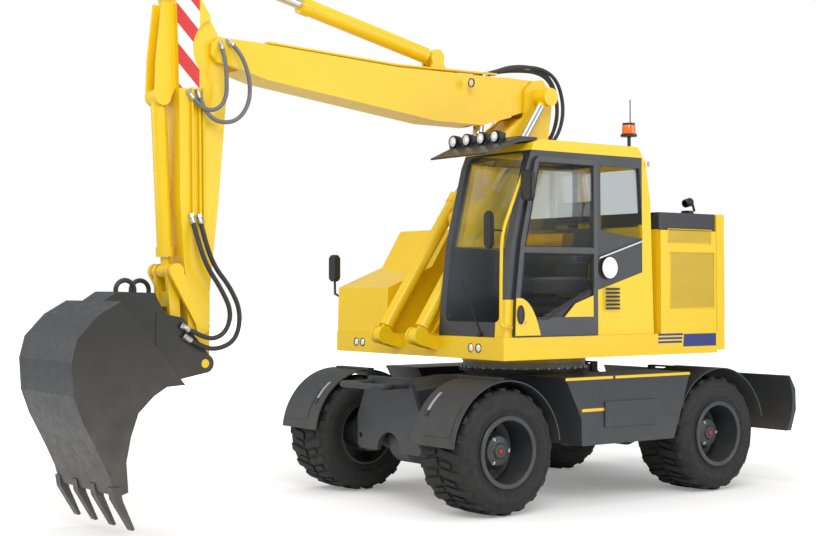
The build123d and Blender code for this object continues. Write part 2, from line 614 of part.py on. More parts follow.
# Second boom: box body with a narrow root, lugs for both cylinders and a fork at its tip
with BuildPart() as boom:
    with BuildSketch(side):
        outline([(290, 3480), (640, 3383), (1190, 3385), (2970, 3600), (3330, 3690), (3440, 3700), (3500, 3760),
                 (3500, 3850), (3430, 3905), (3090, 3900), (1630, 3830), (460, 3840), (290, 3850)])
    extrude(amount=boom_w / 2, both=True)
    with BuildSketch(side):
        with Locations(knee_pin):
            Circle(165)
        outline([(-90, 3845), (320, 3850), (320, 3480), (60, 3560)])
    extrude(amount=knee_w / 2, both=True)
    # rod lug under the root, two plates beside the adjusting cylinder's eye
    with BuildSketch(side):
        with Locations(adjust_pin):
            Circle(80)
        outline([(440, 3600), (640, 3600), (600, 3440), (460, 3450)])
    extrude(amount=knee_w / 2 - 30, both=True)
    with BuildSketch(side):
        outline([(240, 3320), (394, 3490), (396, 3560), (436, 3602), (500, 3609), (566, 3588), (626, 3546),
                 (654, 3495), (760, 3320)])
    extrude(amount=66, both=True, mode=Mode.SUBTRACT)
    # lug for the arm cylinder
    for y in (-68, 68):
        with BuildSketch(side.offset(-y)):
            with Locations(arm_ram_foot):
                Circle(75)
            outline([(960, 3790), (1200, 3790), (1150, 3960), (1050, 3960)])
        extrude(amount=12, both=True)
    with Locations((swing_x + arm_ram_foot[0], 0, arm_ram_foot[1])):
        Cylinder(35, 150, rotation=(90, 0, 0))
    # tip fork around the arm's root
    with BuildSketch(side):
        with Locations(arm_pin):
            Circle(225)
        outline([(3330, 3500), (3600, 3500), (3600, 4100), (3330, 4100)])
    extrude(amount=arm_root_w / 2 + 2, both=True, mode=Mode.SUBTRACT)
    with Locations((swing_x + arm_pin[0], 0, arm_pin[1])):
        Cylinder(42, boom_w, rotation=(90, 0, 0))
    with Locations((swing_x + knee_pin[0], 0, knee_pin[1])):
        Cylinder(50 + run, boom_w, rotation=(90, 0, 0), mode=Mode.SUBTRACT)
boom.part.label = "boom"
export_step(boom.part, "parts/boom.step")

# Arm cylinder above the boom
with BuildPart() as arm_cylinder_barrel:
    add(ram_barrel(arm_ram_foot, arm_ram_pin, 0, 1480, 72, 45, 72, 108, 35 + run, 105))
arm_cylinder_barrel.part.label = "arm_cylinder_barrel"
export_step(arm_cylinder_barrel.part, "parts/arm_cylinder_barrel.step")
with BuildPart() as arm_cylinder_rod:
    add(ram_rod(arm_ram_foot, arm_ram_pin, 0, 1290, 45, 70, 100))
arm_cylinder_rod.part.label = "arm_cylinder_rod"
export_step(arm_cylinder_rod.part, "parts/arm_cylinder_rod.step")

# Arm: box with its root between the boom's ears and a bracket for the bucket cylinder
with BuildPart() as arm:
    with BuildSketch(side):
        outline([(3500, 1240), (3560, 1215), (3620, 1240), (3690, 1560), (3770, 2600), (3784, 3664), (3804, 4163),
                 (3940, 4560), (3900, 4680), (3810, 4680), (3700, 4480), (3580, 4190), (3420, 3945), (3347, 3650),
                 (3347, 3500), (3420, 2600), (3500, 1857)])
    extrude(amount=arm_w / 2, both=True)
    # narrow root at the boom's pin
    for sign in (1, -1):
        with BuildSketch(side.offset(-sign * (arm_root_w / 2 + 50))):
            with Locations(arm_pin):
                Circle(265)
            outline([(3200, 3480), (3480, 3540), (3500, 4080), (3380, 4080)])
        extrude(amount=50, both=True, mode=Mode.SUBTRACT)
    with BuildSketch(side):
        with Locations(arm_pin):
            Circle(120)
    extrude(amount=arm_root_w / 2, both=True)
    with Locations((swing_x + arm_pin[0], 0, arm_pin[1])):
        Cylinder(42 + run, 2 * arm_w, rotation=(90, 0, 0), mode=Mode.SUBTRACT)
    # fork for the arm cylinder's eye
    with BuildSketch(side):
        outline([(3400, 4380), (3690, 4346), (3800, 4350), (3880, 4415), (3925, 4500), (3950, 4600), (3950, 4800),
                 (3400, 4800)])
    extrude(amount=54, both=True, mode=Mode.SUBTRACT)
    # bracket for the bucket cylinder
    for y in (-78, 78):
        with BuildSketch(side.offset(-y)):
            with Locations(bucket_ram_foot):
                Circle(72)
            outline([(3770, 4150), (3900, 4150), (3950, 3700), (3960, 3420), (3830, 3380), (3770, 3500)])
        extrude(amount=12, both=True)
    with Locations((swing_x + bucket_ram_foot[0], 0, bucket_ram_foot[1])):
        Cylinder(32, 170, rotation=(90, 0, 0))
    # arm tip: narrow boss and pins
    with Locations((swing_x + rocker_pin[0], 0, rocker_pin[1])):
        Cylinder(32, arm_w + 80, rotation=(90, 0, 0))
    with Locations((swing_x + tip_pin[0], 0, tip_pin[1])):
        Cylinder(36, arm_w + 80, rotation=(90, 0, 0))
arm.part.label = "arm"
export_step(arm.part, "parts/arm.step")

# Bucket cylinder
with BuildPart() as bucket_cylinder_barrel:
    add(ram_barrel(bucket_ram_foot, link_pin, 0, 1270, 62, 38, 68, 130, 32 + run, 100))
bucket_cylinder_barrel.part.label = "bucket_cylinder_barrel"
export_step(bucket_cylinder_barrel.part, "parts/bucket_cylinder_barrel.step")
with BuildPart() as bucket_cylinder_rod:
    add(ram_rod(bucket_ram_foot, link_pin, 0, 130, 38, 55, 108))
bucket_cylinder_rod.part.label = "bucket_cylinder_rod"
export_step(bucket_cylinder_rod.part, "parts/bucket_cylinder_rod.step")

# Rocker plates on the arm
with BuildPart() as rocker:
    for sign in (1, -1):
        with BuildSketch(side.offset(-sign * (arm_w / 2 + 22))):
            with BuildLine():
                Polyline((3530, 1560), (3610, 1540), (3870, 1990), (3860, 2060), (3790, 2075), close=True)
            make_face()
            with Locations(rocker_pin):
                Circle(62)
            with Locations(link_pin):
                Circle(62)
            with Locations(rocker_pin):
                Circle(32 + run, mode=Mode.SUBTRACT)
        extrude(amount=18, both=True)
    for sign in (1, -1):
        with Locations((swing_x + link_pin[0], sign * (arm_w / 2 + 50) / 2 + sign * 26, link_pin[1])):
            Cylinder(32, arm_w / 2 - 52, rotation=(90, 0, 0))
rocker.part.label = "rocker"
export_step(rocker.part, "parts/rocker.step")

# Tipping link between the rocker's upper pin and the coupler
with BuildPart() as tipping_link:
    for sign in (1, -1):
        with BuildSketch(side.offset(-sign * 100)):
            with Locations(link_pin):
                Circle(60)
            with Locations(coupler_pin):
                Circle(55)
            outline([(3765, 2020), (3745, 1600), (3835, 1600), (3865, 2020)])
            with Locations(link_pin):
                Circle(32 + run, mode=Mode.SUBTRACT)
        extrude(amount=22, both=True)
    with Locations((swing_x + 3803, 0, 1800)):
        Box(60, 200, 120)
tipping_link.part.label = "tipping_link"
export_step(tipping_link.part, "parts/tipping_link.step")

# Quick coupler with ears at both sides of the arm tip
with BuildPart() as coupler:
    with BuildSketch(side):
        outline([(3760, 1205), (3830, 1140), (3899.7, 1150.3), (4439.7, 1790.3), (4330, 1860), (4010, 1850), (3900, 1640)])
    extrude(amount=190, both=True)
    for sign in (1, -1):
        with BuildSketch(side.offset(-sign * (arm_w / 2 + 24))):
            with Locations(tip_pin):
                Circle(75)
            with Locations(coupler_pin):
                Circle(60)
            outline([(3520, 1350), (3560, 1215), (3860, 1160), (4000, 1400), (4000, 1700), (3790, 1660)])
            with Locations(tip_pin):
                Circle(36 + run, mode=Mode.SUBTRACT)
        extrude(amount=20, both=True)
    # room for the tipping link between the ears
    with BuildSketch(side):
        with Locations(coupler_pin):
            Circle(75)
        outline([(3660, 1500), (3700, 1750), (3850, 1700), (3860, 1500)])
    extrude(amount=arm_w / 2 + 3, both=True, mode=Mode.SUBTRACT)
coupler.part.label = "coupler"
export_step(coupler.part, "parts/coupler.step")

# Bucket: curved shell with side plates, lip and teeth
bucket_back = [(4440, 1790), (4624, 1687), (4789, 1518), (4832, 1349), (4815, 1103), (4748, 923), (4612, 668),
               (4530, 500), (4490, 360)]
bucket_front = [(4450, 350), (4374, 374), (4391, 597), (4354, 783), (4293, 954), (4168, 1074), (4057, 1140),
                (3900, 1150)]
with BuildPart() as bucket:
    with BuildSketch(side):
        with BuildLine():
            Polyline(*bucket_back, *bucket_front, close=True)
        make_face()
    extrude(amount=bucket_w / 2, both=True)
    with BuildSketch(side):
        with BuildLine():
            Polyline((4420, 1740), (4600, 1650), (4750, 1500), (4795, 1345), (4778, 1110), (4712, 935), (4578, 680),
                     (4490, 500), (4440, 380), (4300, 300), (3800, 700), (3860, 1170), (3970, 1185), close=True)
        make_face()
    extrude(amount=bucket_w / 2 - bucket_wall, both=True, mode=Mode.SUBTRACT)
    with BuildSketch(side):
        outline([(3900, 1150), (3960, 1185), (4450, 1740), (4440, 1790)])
    extrude(amount=bucket_w / 2, both=True)
    for k in range(4):
        y = -466 + k * 932 / 3
        with BuildSketch(side.offset(-y)):
            outline([(4450, 420), (4515, 420), (4500, 330), (4350, 92), (4330, 100), (4430, 320)])
        extrude(amount=42, both=True)
bucket.part.label = "bucket"
export_step(bucket.part, "parts/bucket.step")

# Mirrors, roof lamps, visor and beacon
with BuildPart(ground) as cab_fittings:
    with BuildSketch(side.offset(-cab_in - 440)):
        outline([(900, cab_top + seat), (1100, cab_top - 30), (1466, 2996), (1470, 3010), (1110, cab_top + 20), (900, cab_top + 20)])
    extrude(amount=370, both=True)
    for y in (450, 630, 820, 1000):
        with Locations((1190, y, cab_top + 10)):
            Box(70, 120, 90)
    with Locations((-385, 900, cab_top + seat)):
        Box(290, 40, 15, align=(Align.CENTER, Align.CENTER, Align.MIN))
    with Locations((-500, 900, 3160)):
        Cylinder(14, 130, align=(Align.CENTER, Align.CENTER, Align.MIN))
    with Locations((-500, 900, 3285)):
        Cylinder(75, 22, align=(Align.CENTER, Align.CENTER, Align.MIN))
        Cylinder(58, 125, align=(Align.CENTER, Align.CENTER, Align.MIN))
cab_fittings.part.label = "cab_fittings"
export_step(cab_fittings.part, "parts/cab_fittings.step")

# Mirrors on their stalks
with BuildPart(ground) as mirrors:
    with Locations((1195, 1335, 2740)):
        Box(60, 170, 260)
    with Locations((1137, cab_out + seat, 2740)):
        Box(125, 40, 30, align=(Align.CENTER, Align.MIN, Align.CENTER))
    with Locations((1250, -1335, 2080)):
        Box(60, 170, 260)
    with Locations((1250, -1335, 1835)):
        Box(30, 30, 140, align=(Align.CENTER, Align.CENTER, Align.MIN))
    with Locations((1250, -1240 - seat, 1850)):
        Box(40, 110, 30, align=(Align.CENTER, Align.MAX, Align.CENTER))
mirrors.part.label = "mirrors"
export_step(mirrors.part, "parts/mirrors.step")
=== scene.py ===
import math
import bmesh
import bpy
from mathutils import Matrix, Vector


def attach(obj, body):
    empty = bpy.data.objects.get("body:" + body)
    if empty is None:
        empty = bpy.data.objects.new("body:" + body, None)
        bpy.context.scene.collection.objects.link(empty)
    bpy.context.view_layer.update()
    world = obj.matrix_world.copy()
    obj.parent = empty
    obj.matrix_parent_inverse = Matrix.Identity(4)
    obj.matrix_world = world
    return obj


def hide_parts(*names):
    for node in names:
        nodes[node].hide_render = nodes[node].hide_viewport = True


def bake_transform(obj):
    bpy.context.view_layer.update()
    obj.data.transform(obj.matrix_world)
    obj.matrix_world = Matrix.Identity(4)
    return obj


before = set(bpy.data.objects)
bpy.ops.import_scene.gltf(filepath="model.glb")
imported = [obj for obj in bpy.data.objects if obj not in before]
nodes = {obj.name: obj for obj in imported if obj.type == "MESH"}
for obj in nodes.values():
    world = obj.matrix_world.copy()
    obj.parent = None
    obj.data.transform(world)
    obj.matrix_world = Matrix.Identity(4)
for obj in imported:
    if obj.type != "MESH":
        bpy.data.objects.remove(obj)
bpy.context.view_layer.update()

# Points are in metres from the swing axis at ground level, +X to the front and +Y to the cab's side
SWING_X = -1.21
AXLES = {"front": 1.315, "rear": -1.285}
HANDS = {"left": 1, "right": -1}
WHEEL_Y, TYRE_R, TYRE_W = 0.98, 0.535, 0.59
CAB_IN, CAB_OUT, CAB_TOP = 0.362, 1.225, 3.15
STEP_FACE, REAR_FACE = 1.2725, 1.2455
FORWARD, BACKWARD, LEFT, UP = (1, 0, 0), (-1, 0, 0), (0, 1, 0), (0, 0, 1)


def at(x, y, z):
    return Vector((x + SWING_X, y, z))


# Camera at the photograph's place, floor and soft light

CAMERA_SPOT, CAMERA_YAW, CAMERA_PITCH = (9.25, 10.179, 1.889), -126.398, 1.940
CAMERA_LENS, CAMERA_SHIFT = 63.44, (0.0399, -0.0354)
FLOOR_HALF = 60
# name, place, aim, power, size
LAMPS = (("key", (6, 9, 9), (0, 0, 1.5), 720, 6), ("fill", (9, -5, 6), (0, 0, 1.5), 300, 7),
         ("left", (-6, 9, 4), (0, 0, 1.8), 230, 6), ("top", (0, 0, 11), (0, 0, 0), 300, 9))


def aimed(way):
    return way.to_track_quat("-Z", "Y").to_euler()


def link(obj):
    bpy.context.scene.collection.objects.link(obj)
    return obj


def make_stage():
    data = bpy.data.cameras.new("view")
    data.lens, data.sensor_width = CAMERA_LENS, 36
    data.shift_x, data.shift_y = CAMERA_SHIFT
    cam = link(bpy.data.objects.new("view", data))
    yaw, pitch = math.radians(CAMERA_YAW), math.radians(CAMERA_PITCH)
    cam.location = at(*CAMERA_SPOT)
    cam.rotation_euler = aimed(Vector((math.cos(pitch) * math.cos(yaw), math.cos(pitch) * math.sin(yaw),
                                       math.sin(pitch))))
    bpy.context.scene.camera = cam
    bpy.context.scene.view_settings.view_transform = "Standard"

    # pale floor that glows to the white of the background away from the machine
    mesh = bpy.data.meshes.new("floor")
    f = FLOOR_HALF
    mesh.from_pydata([(-f, -f, 0), (f, -f, 0), (f, f, 0), (-f, f, 0)], [], [(0, 1, 2, 3)])
    floor = link(bpy.data.objects.new("floor", mesh))
    m = Shade("floor")
    m.colour(m.blend(m.noise(0.7), (0.90, 0.90, 0.90), (0.94, 0.94, 0.94)))
    far = m.add("ShaderNodeVectorMath", operation="LENGTH")
    m.put(far.inputs[0], m.where)
    camera_ray = m.add("ShaderNodeLightPath").outputs["Is Camera Ray"]
    glow = m.maths("MULTIPLY", m.ramp(far.outputs["Value"], 3.5, 11.0, 0.22, 1.0), camera_ray)
    m.set(Roughness=0.9, Emission_Color=(1.0, 1.0, 1.0), Emission_Strength=glow)
    mesh.materials.append(m.mat)

    for name, spot, aim, power, size in LAMPS:
        data = bpy.data.lights.new(name, "AREA")
        data.energy, data.size = power, size
        lamp = link(bpy.data.objects.new(name, data))
        lamp.location = spot
        lamp.rotation_euler = aimed(Vector(aim) - Vector(spot))

    # white to the camera, dimmer as light on the machine
    world = bpy.data.worlds.new("sky")
    bpy.context.scene.world = world
    world.use_nodes = True
    tree = world.node_tree
    light, seen = tree.nodes["Background"], tree.nodes.new("ShaderNodeBackground")
    for background, strength in ((light, 0.55), (seen, 1.0)):
        background.inputs["Color"].default_value = (1.0, 1.0, 1.0, 1)
        background.inputs["Strength"].default_value = strength
    choose, rays = tree.nodes.new("ShaderNodeMixShader"), tree.nodes.new("ShaderNodeLightPath")
    tree.links.new(rays.outputs["Is Camera Ray"], choose.inputs[0])
    tree.links.new(light.outputs[0], choose.inputs[1])
    tree.links.new(seen.outputs[0], choose.inputs[2])
    tree.links.new(choose.outputs[0], tree.nodes["World Output"].inputs[0])


# Materials

class Shade:
    """A node material, with its colour, bump and roughness built up by calls."""

    def __init__(self, name):
        self.mat = bpy.data.materials.new(name)
        self.mat.use_nodes = True
        self.tree = self.mat.node_tree
        self.bsdf = self.tree.nodes["Principled BSDF"]
        self.where = self.add("ShaderNodeTexCoord").outputs["Object"]

    def add(self, kind, **props):
        node = self.tree.nodes.new(kind)
        for key, value in props.items():
            setattr(node, key, value)
        return node

    def put(self, socket, value):
        if isinstance(value, bpy.types.NodeSocket):
            self.tree.links.new(value, socket)
        elif isinstance(value, tuple) and len(value) == 3 and len(socket.default_value) == 4:
            socket.default_value = (*value, 1)
        else:
            socket.default_value = value

    def set(self, **values):
        """Fills the shader's sockets, their names written with _ for each space."""
        for key, value in values.items():
            self.put(self.bsdf.inputs[key.replace("_", " ")], value)
        return self

    def colour(self, value):
        return self.set(Base_Color=value)

    def noise(self, scale, detail=4.0, stretch=None):
        node = self.add("ShaderNodeTexNoise")
        where = self.where
        if stretch:
            mapping = self.add("ShaderNodeMapping")
            self.put(mapping.inputs["Vector"], where)
            mapping.inputs["Scale"].default_value = stretch
            where = mapping.outputs[0]
        self.put(node.inputs["Vector"], where)
        self.put(node.inputs["Scale"], scale)
        self.put(node.inputs["Detail"], detail)
        return node.outputs[0]

    def maths(self, how, a, b=0.0):
        node = self.add("ShaderNodeMath", operation=how)
        self.put(node.inputs[0], a)
        self.put(node.inputs[1], b)
        return node.outputs[0]

    def ramp(self, value, low, high, out_low=0.0, out_high=1.0):
        """The value's span from low to high, spread over the span from out_low to out_high."""
        node = self.add("ShaderNodeMapRange")
        for k, v in enumerate((value, low, high, out_low, out_high)):
            self.put(node.inputs[k], v)
        return node.outputs[0]

    def blend(self, fac, a, b):
        """Colour a where fac is 0, b where it is 1."""
        node = self.add("ShaderNodeMix", data_type="RGBA")
        self.put(node.inputs[0], fac)
        self.put(node.inputs[6], a)
        self.put(node.inputs[7], b)
        return node.outputs[2]

    def dot(self, vector, x, y, z):
        node = self.add("ShaderNodeVectorMath", operation="DOT_PRODUCT")
        self.put(node.inputs[0], vector)
        node.inputs[1].default_value = (x, y, z)
        return node.outputs["Value"]

    def along(self, x, y, z):
        """How far a place is along the direction (x, y, z)."""
        return self.dot(self.where, x, y, z)

    def side(self, x, y, z, least):
        """1 where a place from the swing axis lies at least that far along (x, y, z), else 0."""
        return self.maths("GREATER_THAN", self.along(x, y, z), least + x * SWING_X)

    def both(self, *masks):
        """1 where all the masks are 1."""
        out = masks[0]
        for mask in masks[1:]:
            out = self.maths("MULTIPLY", out, mask)
        return out

    def inside(self, **spans):
        """1 inside the spans given for x, y or z from the swing axis, else 0."""
        masks = []
        for name, (low, high) in spans.items():
            way = [float(name == axis) for axis in "xyz"]
            masks += [self.side(*way, low), self.side(*(-w for w in way), -high)]
        return self.both(*masks)

    def bump(self, height, strength, distance):
        node = self.add("ShaderNodeBump")
        self.put(node.inputs["Height"], height)
        self.put(node.inputs["Strength"], strength)
        self.put(node.inputs["Distance"], distance)
        return self.set(Normal=node.outputs[0])

    def dusty(self, colour, amount, top=1.1):
        """The colour with thin dust that fades out upwards."""
        low = self.ramp(self.along(*UP), 0.0, top, 1.0, 0.0)
        fac = self.maths("MULTIPLY", self.maths("MULTIPLY", low, self.noise(6.0, 6.0)), amount)
        return self.blend(fac, colour, DUST)


YELLOW, CHARCOAL, BLACK = (0.88, 0.585, 0.006), (0.030, 0.034, 0.041), (0.012, 0.012, 0.014)
DUST = (0.42, 0.38, 0.31)
STRIPE_WHITE, STRIPE_RED = (0.86, 0.85, 0.83), (0.62, 0.02, 0.018)
# x and z of the cylinder rods' eyes, and the radius that is painted round each
ROD_EYES, EYE_R = ((-0.05, 3.68), (0.54, 3.50), (3.86, 4.60), (3.815, 2.02), (-2.19, 0.80)), 0.112


def paint(name, colour, shade, rough, coat, dust, mask=None):
    """Sprayed paint with a slow tone change, orange peel and thin dust. mask recolours it by place."""
    m = Shade(name)
    tone = m.blend(m.noise(1.7, 3.0), colour, tuple(c * shade for c in colour))
    if mask:
        tone = mask(m, tone)
    m.colour(m.dusty(tone, dust))
    m.set(Roughness=m.ramp(m.noise(14.0, 5.0), 0.3, 0.7, rough, rough + 0.12), Coat_Weight=coat,
          Coat_Roughness=0.12)
    return m.bump(m.noise(260.0, 2.0), 0.035, 0.0008)


def mottled(name, scale, colour, other, detail=4.0, **values):
    """A material that wanders between two near colours."""
    m = Shade(name)
    return m.colour(m.blend(m.noise(scale, detail), colour, other)).set(**values)


def chrome():
    """Bright rod, its eyes painted yellow."""
    m = Shade("chrome_rod")
    eyes = 0.0
    for x, z in ROD_EYES:
        gap = m.add("ShaderNodeVectorMath", operation="MULTIPLY_ADD")
        m.put(gap.inputs[0], m.where)
        gap.inputs[1].default_value, gap.inputs[2].default_value = (1, 0, 1), (-x - SWING_X, 0, -z)
        size = m.add("ShaderNodeVectorMath", operation="LENGTH")
        m.put(size.inputs[0], gap.outputs[0])
        eyes = m.maths("MAXIMUM", m.maths("LESS_THAN", size.outputs["Value"], EYE_R), eyes)
    bright = m.blend(m.noise(30.0, 2.0, (1, 1, 0.1)), (0.74, 0.75, 0.76), (0.60, 0.61, 0.63))
    m.colour(m.blend(eyes, bright, YELLOW))
    return m.set(Metallic=m.maths("SUBTRACT", 1.0, eyes),
                 Roughness=m.ramp(m.noise(60.0), 0.3, 0.7, 0.12, 0.26))


def bucket_paint():
    """Dark steel blue, browner on the side plates, with dust."""
    m = Shade("bucket_paint")
    tone = m.blend(m.noise(2.2, 5.0), (0.012, 0.016, 0.023), (0.022, 0.026, 0.032))
    facing = m.dot(m.add("ShaderNodeNewGeometry").outputs["Normal"], *LEFT)
    sides = m.maths("GREATER_THAN", m.maths("ABSOLUTE", facing), 0.8)
    m.colour(m.dusty(m.blend(sides, tone, (0.022, 0.022, 0.019)), 0.35, top=1.6))
    m.set(Roughness=m.ramp(m.noise(18.0, 6.0), 0.3, 0.7, 0.34, 0.52))
    return m.bump(m.noise(120.0, 5.0), 0.12, 0.001)


def fabric():
    m = Shade("seat_fabric")
    weave = m.maths("MULTIPLY", m.noise(520.0, 1.0, (1, 4, 1)), m.noise(520.0, 1.0, (4, 1, 4)))
    m.colour(m.blend(weave, (0.028, 0.030, 0.033), (0.075, 0.078, 0.085)))
    return m.set(Roughness=0.9, Sheen_Weight=0.3).bump(weave, 0.5, 0.001)


def cab_mask(m, tone):
    """Yellow roof, rear posts, rear left panel under its slanted edge, and foot of the front left post."""
    roof = m.side(*UP, 3.055)
    posts = m.side(*BACKWARD, 0.322)
    panel = m.both(m.side(-0.2847, 0, -1, -1.9363), m.side(*BACKWARD, -0.245), m.side(*LEFT, 1.2))
    foot = m.inside(x=(1.19, 1.5), y=(1.10, 1.4), z=(1.4, 1.79))
    yellow = m.maths("MAXIMUM", m.maths("MAXIMUM", roof, posts), m.maths("MAXIMUM", panel, foot))
    return m.blend(yellow, tone, YELLOW)


def arm_mask(m, tone):
    """Slanted red and white stripes on the arm's left face."""
    area = m.both(m.inside(x=(3.60, 3.82), z=(3.47, 4.35)), m.side(*LEFT, 0.14))
    wave = m.maths("FRACT", m.maths("MULTIPLY", m.along(-0.62, 0, 0.62), 5.2))
    return m.blend(area, tone, m.blend(m.maths("GREATER_THAN", wave, 0.5), STRIPE_WHITE, STRIPE_RED))


# x and z spans of the side door's two screens
SCREENS = {"screen_high": ((-1.225, -0.640), (2.300, 2.425)),
           "screen_low": ((-1.265, -0.665), (1.705, 2.215))}


def door_hole_shade(m, tone):
    """Punched holes of the two screens of the engine's side door, each hole a dark dot of painted shade for
    the space behind the screen.
    """
    hole = m.maths("MULTIPLY", m.maths("SINE", m.along(330, 0, 330)), m.maths("SINE", m.along(330, 0, -330)))
    area = m.maths("MAXIMUM", *(m.inside(x=x, z=z) for x, z in SCREENS.values()))
    # painted shade: the holes are coloured dark brown, standing in for the shadow behind the screens
    return m.blend(m.both(area, m.maths("GREATER_THAN", hole, 0.1)), tone, (0.10, 0.075, 0.01))


def make_materials():
    mats = {
        "yellow": paint("yellow", YELLOW, 0.9, 0.32, 0.2, 0.08),
        "charcoal": paint("charcoal", CHARCOAL, 0.8, 0.42, 0.1, 0.2),
        "black": paint("black", BLACK, 0.7, 0.45, 0.05, 0.1),
        "chrome": chrome(), "bucket": bucket_paint(), "fabric": fabric(),
        "cab_frame": paint("cab_frame", CHARCOAL, 0.8, 0.4, 0.2, 0.03, cab_mask),
        "cab_door": paint("cab_door", CHARCOAL, 0.8, 0.36, 0.3, 0.05,
                          lambda m, tone: m.blend(m.side(*LEFT, 1.2555), tone, YELLOW)),
        "arm": paint("arm_paint", YELLOW, 0.92, 0.3, 0.35, 0.04, arm_mask),
        "side_door": paint("side_door", YELLOW, 0.93, 0.3, 0.35, 0.04, door_hole_shade),
        "fittings": paint("fittings", BLACK, 0.8, 0.4, 0.2, 0.02),
        "slew": paint("slew_ring", CHARCOAL, 0.8, 0.42, 0.1, 0.2,
                      lambda m, tone: m.blend(m.side(*UP, 1.146), tone, (0.45, 0.45, 0.44))),
        "rocker": paint("link_paint", YELLOW, 0.92, 0.32, 0.3, 0.05),
        "glass": mottled("tinted_glass", 3.0, (0.80, 0.88, 0.86), (0.74, 0.83, 0.82),
                         Transmission_Weight=1.0, Roughness=0.02, IOR=1.15, Alpha=0.45),
        "red": mottled("red_plug", 80.0, (0.50, 0.02, 0.015), (0.36, 0.015, 0.012), Roughness=0.35),
        "white": mottled("white_disc", 20.0, (0.88, 0.88, 0.87), (0.82, 0.82, 0.81), Roughness=0.35),
        "blue": mottled("blue_stripe", 20.0, (0.012, 0.030, 0.20), (0.010, 0.022, 0.15),
                        Roughness=0.3, Coat_Weight=0.4),
    }
    m = mats["plastic"] = Shade("fender_plastic")
    m.colour(m.dusty(m.blend(m.noise(5.0), (0.034, 0.037, 0.042), (0.024, 0.027, 0.031)), 0.3))
    m.set(Roughness=0.55).bump(m.noise(420.0, 2.0), 0.25, 0.0006)
    m = mats["rubber"] = Shade("tyre_rubber")
    grime = m.maths("MULTIPLY", m.noise(9.0, 8.0), 0.45)
    m.colour(m.blend(grime, (0.010, 0.010, 0.011), (0.042, 0.040, 0.037)))
    m.set(Roughness=m.ramp(m.noise(25.0, 6.0), 0.3, 0.7, 0.62, 0.85))
    m.bump(m.noise(180.0, 6.0), 0.35, 0.0012)
    m = mats["steel"] = mottled("bright_steel", 40.0, (0.62, 0.62, 0.61), (0.42, 0.42, 0.42),
                                Metallic=0.9, Roughness=0.34)
    m.bump(m.noise(300.0), 0.1, 0.0004)
    m = mats["alu"] = mottled("ribbed_aluminium", 8.0, (0.60, 0.61, 0.62), (0.46, 0.47, 0.48),
                              Metallic=0.8, Roughness=0.38)
    m.bump(m.noise(160.0, 2.0, (0.02, 1, 1)), 0.25, 0.0006)
    m = mats["lens"] = mottled("lamp_lens", 90.0, (0.92, 0.93, 0.95), (0.70, 0.72, 0.75), 2.0,
                               Roughness=0.08, Coat_Weight=1.0, Metallic=0.35)
    m.bump(m.noise(140.0, 1.0), 0.4, 0.001)
    m = mats["orange"] = mottled("orange_lens", 60.0, (0.95, 0.20, 0.01), (0.80, 0.13, 0.005),
                                 Roughness=0.12, Coat_Weight=0.8)
    m.bump(m.noise(150.0), 0.2, 0.0008)
    m = mats["hose"] = mottled("hose_rubber", 40.0, (0.020, 0.020, 0.022), (0.040, 0.040, 0.042),
                               Roughness=0.6)
    m.bump(m.noise(260.0), 0.3, 0.0006)
    m = mats["guard"] = mottled("spiral_guard", 40.0, (0.11, 0.115, 0.125), (0.17, 0.175, 0.185),
                                Roughness=0.5)
    m.bump(m.noise(200.0), 0.25, 0.0006)
    m = mats["engine"] = mottled("cast_engine", 12.0, (0.10, 0.10, 0.10), (0.05, 0.05, 0.05),
                                 Roughness=0.7)
    m.bump(m.noise(90.0), 0.4, 0.002)
    return {key: shade.mat for key, shade in mats.items()}


def dress(mats):
    """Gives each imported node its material."""
    wheels = [f"{end}_{hand}" for end in AXLES for hand in HANDS]
    rows = {
        "yellow": ["base_boom", "boom", "upper_frame", "counterweight", "rear_housing", "storage_right",
                   "lift_cylinder_barrels", "adjust_cylinder_barrel", "arm_cylinder_barrel",
                   "bucket_cylinder_barrel"],
        "charcoal": ["chassis_frame", "front_plate", "front_guard", "front_axle", "rear_axle", "knuckle_left",
                     "knuckle_right", "step_boxes", "locker_door", "blade", "blade_cylinder_barrels",
                     "engine_hood"] + [f"rim_{wheel}" for wheel in wheels],
        "chrome": ["lift_cylinder_rods", "adjust_cylinder_rod", "arm_cylinder_rod", "bucket_cylinder_rod",
                   "blade_cylinder_rods"],
        "plastic": ["fender_front_left", "fender_front_right", "rear_fenders"],
        "rubber": [f"tyre_{wheel}" for wheel in wheels],
        "rocker": ["rocker", "tipping_link"], "bucket": ["bucket", "coupler"],
        "fittings": ["cab_fittings", "mirrors"], "arm": ["arm"], "side_door": ["side_door_left"],
        "cab_frame": ["cab_frame"], "cab_door": ["cab_door"], "slew": ["slew_ring"], "engine": ["engine"],
        "fabric": ["operator_seat"],
    }
    for key, names in rows.items():
        for name in names:
            for slot in nodes[name].material_slots:
                slot.material = mats[key]


# Mesh helpers: a shape is a pair of vertices and faces

def piece(name, shape, mat, body, smooth=False, bevel=0.0, segments=2):
    verts, faces = shape
    mesh = bpy.data.meshes.new(name)
    mesh.from_pydata([tuple(v) for v in verts], [], faces)
    bm = bmesh.new()
    bm.from_mesh(mesh)
    bmesh.ops.recalc_face_normals(bm, faces=bm.faces)
    if bevel:
        bmesh.ops.bevel(bm, geom=bm.edges[:], offset=bevel, segments=segments, affect="EDGES")
    bm.to_mesh(mesh)
    bm.free()
    mesh.materials.append(mat)
    if smooth:
        mesh.polygons.foreach_set("use_smooth", [True] * len(mesh.polygons))
    obj = link(bpy.data.objects.new(name, mesh))
    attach(obj, body)
    return obj


def frame_at(origin, axis):
    """Turns local +Z to the axis and local +X as near to up as can be."""
    z = Vector(axis).normalized()
    x = Vector(UP) - z * Vector(UP).dot(z)
    x = x.normalized() if x.length > 1e-6 else z.orthogonal().normalized()
    return Matrix.Translation(origin) @ Matrix((x, z.cross(x), z)).transposed().to_4x4()


